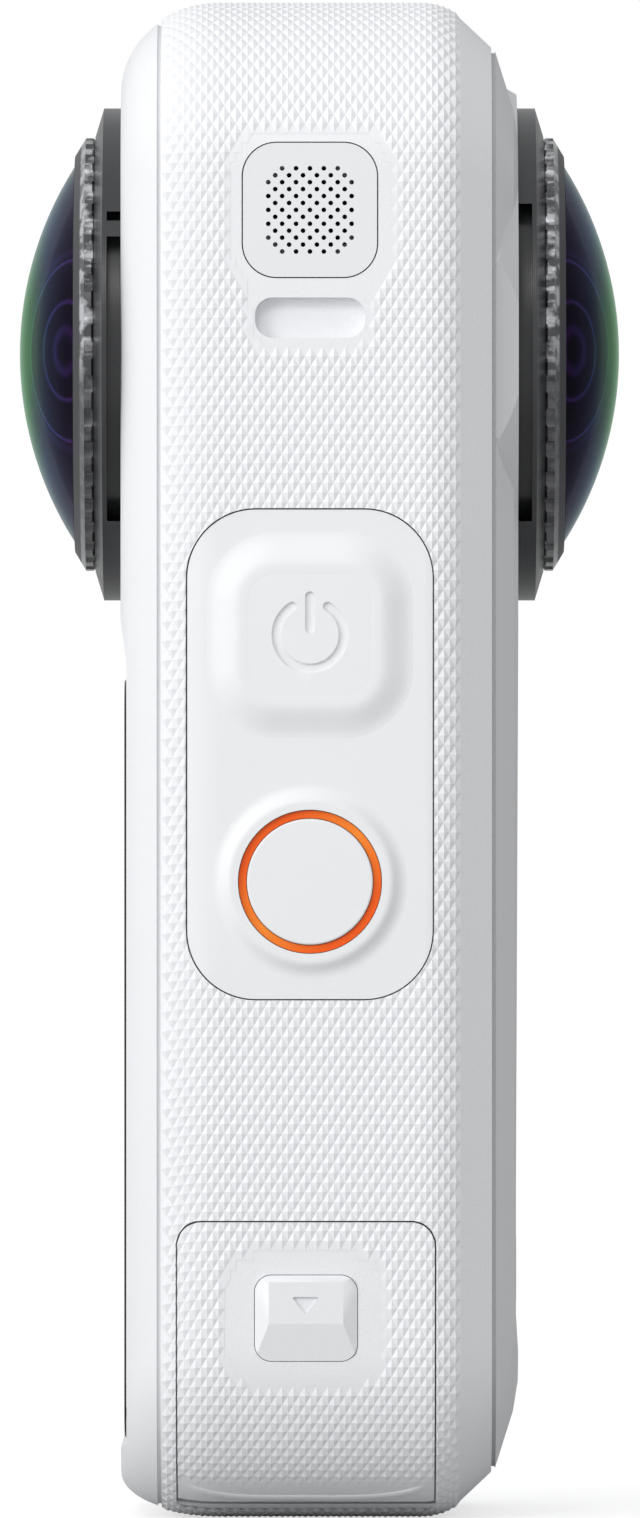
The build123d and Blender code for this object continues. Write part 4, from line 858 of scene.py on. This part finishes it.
def knurled_skin(name, carrier, keep, edge_fade, first=None, last=None):
    """Sheet of pointed diamonds over the band, or over part of its way round.

    It is laid on the carrier's surface, and cut at the outlines of what it meets.
    """
    reach, look, snap, edge_run, edge_height, bare = 1.5, 2.0, 0.25, 0.5, 0.15, 0.02
    sizes = bpy.context.scene.knurl_sizes
    width, height = sizes.diamond_width / MM, sizes.diamond_height / MM
    columns = round((BAND_RIGHT - BAND_LEFT) / width) * 2
    step_x = (BAND_RIGHT - BAND_LEFT) / columns
    step_along = height / 2
    finder = surface_finder(carrier)
    points, masks, kept = {}, {}, {}
    whole = first is None
    rows = round(ROUND / height) * 2 if whole else int((last - first) / step_along)
    if whole:
        first, step_along = 0.0, ROUND / rows
    for row in range(rows if whole else rows + 1):
        along = first + row * step_along
        for column in range(columns + 1):
            x = BAND_LEFT + column * step_x
            spot = body_place(x, along)
            kept[column, row] = keep(spot)
            if kept[column, row] < -reach:
                continue
            normal = body_normal(x, along)
            hit = finder.ray_cast((spot + normal * look) * MM, -normal, 2 * look * MM)
            if hit[0] and (hit[0] - spot * MM).length < snap * MM:
                spot = hit[0] / MM
            edge = min(x - BAND_LEFT, BAND_RIGHT - x)
            mask = smooth_step(plain_margin(spot) / (sizes.fade / MM))
            mask *= smooth_step(edge / edge_run + edge_height) * edge_fade(spot)
            peak = (column + row) % 2 == 0
            lift = sizes.lift / MM + (sizes.peak / MM * mask if peak else 0.0)
            points[column, row] = spot + normal * lift
            masks[column, row] = mask
    skin = bmesh.new()
    made = {}

    def corner(key, place):
        if key not in made:
            made[key] = skin.verts.new(place * MM)
        return made[key]

    for (column, row), place in points.items():
        if (column + row) % 2:
            continue
        around = [(1, 0), (0, 1), (-1, 0), (0, -1)]
        for turn in range(4):
            keys = [(column, row)]
            for side_step, up_step in (around[turn], around[(turn + 1) % 4]):
                other_row = (row + up_step) % rows if whole else row + up_step
                keys.append((column + side_step, other_row))
            if any(key not in points for key in keys) or max(masks[key] for key in keys) < bare:
                continue
            cut = []
            for here, there in zip(keys, keys[1:] + keys[:1]):
                if kept[here] > 0:
                    cut.append(corner(here, points[here]))
                if (kept[here] > 0) != (kept[there] > 0):
                    share = kept[here] / (kept[here] - kept[there])
                    ends = tuple(sorted((here, there)))
                    cut.append(corner(ends, points[here].lerp(points[there], share)))
            if len(cut) >= 3:
                skin.faces.new(cut)
    return mesh_of(skin, name)


def place_piece(name, data, material, body):
    """Adds a piece that rides on a body."""
    piece = new_object(name, data)
    data.materials.clear()
    data.materials.append(material)
    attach(piece, body)
    return piece


def ring_outline(area, count):
    """Points of a rounded rectangle's outline, set by their direction from its middle."""
    middle_x, middle_z, half_x, half_z, _ = area
    halvings = 28
    points = []
    for i in range(count):
        angle = 2 * math.pi * (i + 0.5) / count
        aim = Vector((math.cos(angle), math.sin(angle)))
        near, far = 0.0, 2 * (half_x + half_z)
        for _ in range(halvings):
            middle = (near + far) / 2
            if rounded((middle_x + aim.x * middle, middle_z + aim.y * middle), area) < 0:
                near = middle
            else:
                far = middle
        points.append((middle_x + aim.x * near, middle_z + aim.y * near))
    return points


def join_rings(shape, rings):
    """Faces between each closed ring of points and the next."""
    for near, far in zip(rings, rings[1:]):
        for i in range(len(near)):
            j = (i + 1) % len(near)
            shape.faces.new((near[i], near[j], far[j], far[i]))


def soft_slope(name, rise):
    """Soft skin that runs from the power button's top face out over its gap to the panel."""
    skin = bmesh.new()
    around, steps = 192, 24
    start, run, flat, sink = -0.55, 3.2, 0.6, 0.008
    rings = []
    for step in range(steps + 1):
        out = run * step / steps
        fall = smooth_step((out - flat) / (run - flat))
        height = rise * (1 - fall) + (-sink if step in (0, steps) else sink)
        y = -(HALF_WIDTH + height)
        outline = ring_outline(grown(POWER, start + out), around)
        rings.append([skin.verts.new((x * MM, y * MM, z * MM)) for x, z in outline])
    join_rings(skin, rings)
    return mesh_of(skin, name, smooth=True)


def rolled_rim(name):
    """Rolled lip across the foot of the port door, lowest in its middle."""
    bead = bmesh.new()
    steps, around = 60, 8
    half_length, half_breadth, height, sink = DOOR[2] - 0.45, 0.42, 0.12, 0.02
    low_z, rise = 1.5, 1.0
    rings = []
    for step in range(steps + 1):
        share = 2 * step / steps - 1
        x = DOOR[0] + share * half_length
        z = low_z + rise * abs(share) ** 4
        middle = CORNER_Y + CORNER_RADIUS * math.acos(1 - z / CORNER_RADIUS)
        taper = smooth_step((1 - abs(share)) * 7)
        ring = []
        for turn in range(around + 1):
            swing = math.pi * turn / around
            along = middle + half_breadth * math.cos(swing)
            lift = height * math.sin(swing) * taper - sink * (1 - taper)
            lift -= sink if turn in (0, around) else 0.0
            ring.append(bead.verts.new((body_place(x, along) + body_normal(x, along) * lift) * MM))
        rings.append(ring)
    for before, after in zip(rings, rings[1:]):
        for turn in range(around):
            bead.faces.new((before[turn], before[turn + 1], after[turn + 1], after[turn]))
    return mesh_of(bead, name, smooth=True)


def prism(name, outline, near_y, far_y):
    """Closed solid of an outline in the button side's plane, between two depths, in metres."""
    solid = bmesh.new()
    low = [solid.verts.new((x, near_y, z)) for x, z in outline]
    high = [solid.verts.new((x, far_y, z)) for x, z in outline]
    solid.faces.new(low)
    solid.faces.new(list(reversed(high)))
    for i in range(len(outline)):
        j = (i + 1) % len(outline)
        solid.faces.new((low[j], low[i], high[i], high[j]))
    return new_object(name, mesh_of(solid, name))


def modified(block):
    """Mesh of an object with its modifiers applied."""
    bpy.context.view_layer.update()
    shaped = block.evaluated_get(bpy.context.evaluated_depsgraph_get())
    return bpy.data.meshes.new_from_object(shaped)


def carved(node, cutters):
    """Copy of a CAD node's shape with these solids cut out of it."""
    solid = bmesh.new()
    solid.from_mesh(nodes[node].data)
    bmesh.ops.remove_doubles(solid, verts=solid.verts, dist=0.001 * MM)
    block = new_object(node + "_block", mesh_of(solid, node + "_carved", turned_out=False))
    for cutter in cutters:
        modifier = block.modifiers.new("cut", "BOOLEAN")
        modifier.operation = "DIFFERENCE"
        modifier.solver = "EXACT"
        modifier.object = cutter
    result = modified(block)
    for spent in [block, *cutters]:
        bpy.data.objects.remove(spent)
    result.shade_smooth()
    result.set_sharp_from_angle(angle=math.radians(24))
    return weighted(result)


def weighted(data):
    """The same mesh with its large faces kept flat in the shading."""
    block = new_object(data.name + "_block", data)
    modifier = block.modifiers.new("normals", "WEIGHTED_NORMAL")
    modifier.keep_sharp = True
    modifier.weight = 100
    result = modified(block)
    bpy.data.objects.remove(block)
    return result


def arc(middle, radius, start, sweep, count):
    """Points along an arc in the button side's plane."""
    x, z = middle
    turns = [start + sweep * i / count for i in range(count + 1)]
    return [(x + radius * math.cos(turn), z + radius * math.sin(turn)) for turn in turns]


def open_ring(middle, radius, half, start, sweep):
    """Outline of a ring with a gap, whose stroke has rounded ends."""
    steps, end_steps = 72, 12
    first, last = arc(middle, radius, start, sweep, 1)
    outer = arc(middle, radius + half, start, sweep, steps)
    inner = arc(middle, radius - half, start, sweep, steps)
    far_end = arc(last, half, start + sweep, math.pi, end_steps)
    near_end = arc(first, half, start + math.pi, math.pi, end_steps)
    return outer + far_end[1:-1] + inner[::-1] + near_end[1:-1]


def round_bar(x, low, high, half):
    """Outline of an upright stroke with rounded ends."""
    return arc((x, high), half, 0, math.pi, 12) + arc((x, low), half, math.pi, math.pi, 12)


def soft_corners(corners, soften):
    """Outline of a polygon with its corners taken off."""
    outline = []
    for index, (x, z) in enumerate(corners):
        before = (Vector(corners[index - 1]) - Vector((x, z))).normalized()
        after = (Vector(corners[(index + 1) % len(corners)]) - Vector((x, z))).normalized()
        for share, pull in ((1.0, 1.0), (0.5, 0.75), (0.0, 1.0)):
            lean = (before * share + after * (1 - share)) * soften * pull
            outline.append((x + lean.x, z + lean.y))
    return outline


class DRESS_OT_shells(bpy.types.Operator):
    """Finish the shells, the band, the door and the battery cover"""

    bl_idname = "dress.shells"
    bl_label = "Shells"

    def execute(self, context):
        colours = context.scene.body_colours
        shell = tuple(colours.shell)
        covers = ["port_door", "battery_cover", "battery_latch"]
        # Each row darkens the shell white by its share. The front shell's 0.88 and its flank
        # shading are painted shade; the back shell and the grille plate are set a little darker.
        for name, share, grain, depth, roughness, shading, dressed in (
            ("shell_white", 0.965, 0.16, 0.012, 0.46, dusty, ["back_shell"]),
            ("front_white", 0.88, 0.14, 0.008, 0.42, shaded_flanks, ["front_shell"]),
            ("band_white", 1.0, 0.22, 0.02, 0.5, shaded_seams, ["mid_band"]),
            ("door_white", 1.0, 0.22, 0.02, 0.5, dusty, covers),
            ("grille_white", 0.96, 0.12, 0.006, 0.42, dusty, ["grille_plate"]),
        ):
            tone = darker(shell, share)
            white = moulded_white(name, tone, grain * MM, depth * MM, roughness, shading)
            dress(white, *dressed)
        return {"FINISHED"}


class DRESS_OT_knurl(bpy.types.Operator):
    """Lay the knurled skin on the band, the door and the battery cover"""

    bl_idname = "dress.knurl"
    bl_label = "Knurled skin"

    def execute(self, context):
        shell = tuple(context.scene.body_colours.shell)
        white = moulded_white("knurl_white", shell, 0.2 * MM, 0.006 * MM, 0.44, dusty)
        diamond = context.scene.knurl_sizes.diamond_height / MM
        first = round(12.0 / diamond) * diamond
        low = sum(RUNS[:6])
        for name, carrier, keep, fade, start, end, body in (
            ("band_knurl", "mid_band", band_keep, no_fade, None, None, "camera"),
            ("door_knurl", "port_door", door_keep, rim_fade, first, 44.0, "door"),
            ("cover_knurl", "battery_cover", cover_keep, no_fade, low, low + SIDE_RUN, "battery"),
        ):
            skin = knurled_skin(name, carrier, keep, fade, start, end)
            place_piece(name, skin, white, body)
        return {"FINISHED"}


class DRESS_OT_buttons(bpy.types.Operator):
    """Finish the button panel and engrave the power sign and the latch's triangle"""

    bl_idname = "dress.buttons"
    bl_label = "Buttons"

    def execute(self, context):
        colours = context.scene.body_colours
        signs = context.scene.sign_sizes
        soft = soft_white("panel_white", tuple(colours.soft))
        dress(soft, "key_panel", "record_button")
        dress(glossy_orange("ring_orange", tuple(colours.orange)), "record_ring")
        self.power_button(signs, soft)
        white = tuple(colours.shell)
        white = moulded_white("latch_white", white, 0.15 * MM, 0.012 * MM, 0.44, dusty)
        place_piece("door_rim", rolled_rim("door_rim"), white, "door")
        self.door_latch(signs, white)
        return {"FINISHED"}

    def power_button(self, signs, finish):
        """The button with its sign, and the soft slope over its gap."""
        low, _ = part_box("power_button")
        near, far = low.y - signs.depth, low.y + signs.depth
        half = signs.stroke / 2
        x, z = POWER[0] * MM, POWER[1] * MM
        start = math.pi / 2 + signs.gap_angle / 2
        sweep = 2 * math.pi - signs.gap_angle
        ring = open_ring((x, z), signs.power_radius, half, start, sweep)
        bar = round_bar(x, z + 0.1 * MM + half, z + 3.25 * MM - half, half)
        ring = prism("power_ring_cut", ring, near, far)
        bar = prism("power_bar_cut", bar, near, far)
        shape = carved("power_button", [ring, bar])
        piece = place_piece("power_button_engraved", shape, finish, "power_key")
        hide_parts("power_button")
        rise = -low.y / MM - HALF_WIDTH
        slope = soft_slope("power_skirt", rise)
        skirt = place_piece("power_skirt", slope, finish, "camera")
        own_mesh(skirt)

    def door_latch(self, signs, finish):
        """The latch with its triangle."""
        low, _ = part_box("door_latch")
        x, half = LATCH_X * MM, signs.triangle_width / 2
        top_z, tip_z = 16.75 * MM, 15.4 * MM
        sign = soft_corners([(x - half, top_z), (x + half, top_z), (x, tip_z)], 0.16 * MM)
        cutter = prism("latch_sign_cut", sign, low.y - signs.depth, low.y + signs.depth)
        shape = carved("door_latch", [cutter])
        piece = place_piece("door_latch_engraved", shape, finish, "latch")
        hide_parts("door_latch")


class DRESS_OT_lenses(bpy.types.Operator):
    """Finish the rings, domes, lenses and sensors of both lens modules"""

    bl_idname = "dress.lenses"
    bl_label = "Lens modules"

    def execute(self, context):
        colours = context.scene.body_colours
        clear, smoked, dark = (0.85, 0.87, 0.86), (0.05, 0.052, 0.058), (0.1, 0.1, 0.12)
        # The inner rings, the glints and the arcs are painted reflections: lines of extra sheen on
        # the glass.
        inner = (0.45, 0.06, 0.5), (0.8, 0.05, 0.5)
        painted_glints = (0.42, 0.03, 0.9), (0.72, 0.022, 0.8), (0.9, 0.02, 1.0)
        painted_arcs = (2.9, 0.3, 0.14), (4.3, 0.2, 0.24), (7.0, 0.18, 0.34), (7.6, 0.5, 0.08)
        finishes = {
            "base_ring": turned_black("base_ring_black", tuple(colours.base), 0.3, 0.35),
            "guard_ring": gripped_ring("guard_ring_grey", tuple(colours.guard)),
            "guard_dome": coated_glass("dome_glass", 14.2, smoked, 1.08, 1.3, 6.5, painted_arcs=painted_arcs),
            "guard_seal": plain_rubber("seal_rubber", srgb(22, 22, 23)),
            "lens_front": coated_glass("front_glass", 10.7, dark, 1.1, 0.35, 6.0, painted_glints),
            "lens_barrel": turned_black("barrel_black", srgb(16, 16, 18), 0.5),
            "lens_group": coated_glass("inner_glass", 6.2, clear, 1.5, 0.6, 2.0, inner),
            "image_sensor": sensor_glass("sensor_silicon"),
            "sensor_board": circuit_board("board_green", srgb(20, 70, 48)),
        }
        for piece, finish in finishes.items():
            dress(finish, "front_" + piece, "rear_" + piece)
        return {"FINISHED"}


class DRESS_OT_inside(bpy.types.Operator):
    """Finish the screen, the seals, the boards, the battery and the metal pieces"""

    bl_idname = "dress.inside"
    bl_label = "Screen and inside"

    def execute(self, context):
        dress(black_glass("screen_black"), "screen_glass")
        dress(black_glass("display_black", (0.006, 0.006, 0.009)), "display_panel")
        dress(black_glass("window_smoke", (0.06, 0.06, 0.065)), "status_window")
        rubber = plain_rubber("gasket_rubber", srgb(34, 34, 35))
        dress(rubber, "door_gasket", "battery_seal", "grille_gasket", "speaker")
        green = circuit_board("main_board_green", srgb(18, 66, 46))
        dress(green, "main_board", "key_board", "port_board")
        steel = bright_metal("steel", (0.56, 0.56, 0.57), 0.3, (1.0, 1.0, 0.15))
        dress(steel, "chassis_screws", "hinge_pin", "latch_spring", "latch_bolt", "usb_socket")
        tin = bright_metal("shield_tin", (0.66, 0.66, 0.65), 0.34, (1.0, 0.15, 1.0))
        dress(tin, "processor_shield", "card_socket", "key_switches")
        spreader = bright_metal("spreader_aluminium", (0.75, 0.76, 0.78), 0.38, (1.0, 1.0, 0.2))
        dress(spreader, "heat_spreader")
        gold = bright_metal("contact_gold", (0.83, 0.62, 0.27), 0.26, (1.0, 1.0, 0.3))
        dress(gold, "battery_contacts", "tripod_insert")
        dress(wrapped_pack("battery_grey", srgb(70, 71, 74)), "battery_pack")
        dress(wrapped_pack("tray_black", srgb(24, 24, 26)), "battery_tray")
        return {"FINISHED"}


class DRESS_OT_thread(bpy.types.Operator):
    """Cut the quarter inch thread in the tripod socket"""

    bl_idname = "dress.thread"
    bl_label = "Tripod thread"

    def execute(self, context):
        core, crest, pitch = 2.57 * MM, 3.1 * MM, 1.27 * MM
        around, per_turn = 48, 8
        low, high = 0.32 * MM, 6.3 * MM
        lead_in, lead_out, half_groove, depth_share = 0.5 * MM, 0.6 * MM, 0.42, 0.25
        rows = int((high - low) / pitch * per_turn)
        data = bmesh.new()
        grid = []
        for row in range(rows + 1):
            z = low + (high - low) * row / rows
            ring = []
            for i in range(around):
                angle = 2 * math.pi * i / around
                phase = (z / pitch - i / around) % 1.0
                groove = max(0.0, 1 - abs(phase - 0.5) / half_groove)
                fade = smooth_step((z - low) / lead_in) * smooth_step((high - z) / lead_out)
                radius = core - (crest - core) * depth_share * groove * fade
                ring.append(data.verts.new((radius * math.cos(angle), radius * math.sin(angle), z)))
            grid.append(ring)
        join_rings(data, grid[::-1])
        mesh = mesh_of(data, "socket_thread", turned_out=False, smooth=True)
        gold = bright_metal("thread_brass", (0.78, 0.6, 0.3), 0.28, (1.0, 1.0, 0.3))
        place_piece("socket_thread", mesh, gold, "camera")
        return {"FINISHED"}


class DRESS_OT_stage(bpy.types.Operator):
    """Set the floor, the soft lights, the surround and the viewing camera"""

    bl_idname = "dress.stage"
    bl_label = "Stage"

    def execute(self, context):
        scene = context.scene
        settings = scene.stage_settings
        sensor_width, floor_radius, floor_gap = 36.0, 0.17, 0.15 * MM
        floor_mesh = bmesh.new()
        bmesh.ops.create_circle(floor_mesh, cap_ends=True, radius=floor_radius, segments=96)
        floor = new_object("floor", mesh_of(floor_mesh, "floor", turned_out=False))
        floor.location.z = cad_low.z - floor_gap
        paper = Finish("floor_paper")
        fibre = paper.noise(0.8 * MM, 3.0)
        sheet = paper.surface(
            Base_Color=paper.blend(fibre, (0.5, 0.5, 0.5), (0.54, 0.54, 0.54)),
            Roughness=0.9 + (fibre - 0.5) * 0.1,
        )
        glow = paper.node("ShaderNodeEmission", values={"Color": WHITE, "Strength": 0.62})
        both = paper.node("ShaderNodeAddShader", values={0: sheet, 1: glow})
        seen = paper.node("ShaderNodeLightPath", output="Is Camera Ray")
        mixed = paper.node("ShaderNodeMixShader", values={0: seen, 1: sheet, 2: both})
        floor.data.materials.append(paper.done(mixed))

        target = Vector((0, 0, 57 * MM))
        lamps = (
            ("key_light", (-0.76, -0.64, 0.34), 0.5, settings.key_power),
            ("fill_light", (0.8, -0.5, 0.2), 0.4, settings.fill_power),
            ("top_light", (-0.2, -0.75, 0.62), 0.3, settings.top_power),
        )
        for name, place, size, power in lamps:
            light = bpy.data.lights.new(name, "AREA")
            light.shape = "DISK"
            light.size = size
            light.energy = power
            lamp = new_object(name, light)
            lamp.location = place
            lamp.rotation_euler = (target - Vector(place)).to_track_quat("-Z", "Y").to_euler()

        around = Finish("white_surround", "worlds")
        facing = around.node("ShaderNodeTexCoord", output="Generated")
        lean = around.node(
            "ShaderNodeVectorMath",
            {"operation": "DOT_PRODUCT"},
            {0: facing, 1: settings.surround_lean},
            output="Value",
        )
        strength = (lean + settings.surround).at_least(0.05)
        cool = {"Color": (0.98, 0.99, 1.0, 1.0), "Strength": strength}
        lit = around.node("ShaderNodeBackground", values=cool)
        plain = around.node("ShaderNodeBackground", values={"Color": WHITE, "Strength": 1.0})
        seen = around.node("ShaderNodeLightPath", output="Is Camera Ray")
        mixed = around.node("ShaderNodeMixShader", values={0: seen, 1: lit, 2: plain})
        scene.world = around.done(mixed)
        scene.view_settings.view_transform = "Standard"

        camera_data = bpy.data.cameras.new("view_camera")
        camera_data.lens = settings.lens
        camera_data.sensor_width = sensor_width
        camera_data.clip_start = 0.1
        camera_data.clip_end = 20.0
        camera = new_object("view_camera", camera_data)
        distance = settings.view_height * settings.lens / sensor_width
        camera.location = (0.04 * MM, -HALF_WIDTH * MM - distance, 56.85 * MM)
        camera.rotation_euler = (math.pi / 2, 0, 0)
        scene.camera = camera
        return {"FINISHED"}


STEPS = (
    DRESS_OT_shells,
    DRESS_OT_knurl,
    DRESS_OT_buttons,
    DRESS_OT_lenses,
    DRESS_OT_inside,
    DRESS_OT_thread,
    DRESS_OT_stage,
)


class DRESS_PT_panel(bpy.types.Panel):
    """Lists the steps and their sizes in the sidebar"""

    bl_idname = "DRESS_PT_panel"
    bl_label = "Camera dressing"
    bl_space_type = "VIEW_3D"
    bl_region_type = "UI"
    bl_category = "Camera dressing"

    def draw(self, context):
        layout = self.layout
        for group_name in GROUPS:
            group = getattr(context.scene, group_name)
            box = layout.box()
            for name in group.__annotations__:
                box.prop(group, name)
        for step in STEPS:
            layout.operator(step.bl_idname)


def register():
    for item in (*GROUPS.values(), *STEPS, DRESS_PT_panel):
        bpy.utils.register_class(item)
    for name, group in GROUPS.items():
        setattr(bpy.types.Scene, name, PointerProperty(type=group))


def unregister():
    for name in GROUPS:
        delattr(bpy.types.Scene, name)
    for item in reversed((*GROUPS.values(), *STEPS, DRESS_PT_panel)):
        bpy.utils.unregister_class(item)


def main():
    register()
    bpy.ops.dress.shells()
    bpy.ops.dress.knurl()
    bpy.ops.dress.buttons()
    bpy.ops.dress.lenses()
    bpy.ops.dress.inside()
    bpy.ops.dress.thread()
    bpy.ops.dress.stage()


if __name__ == "__main__":
    main()
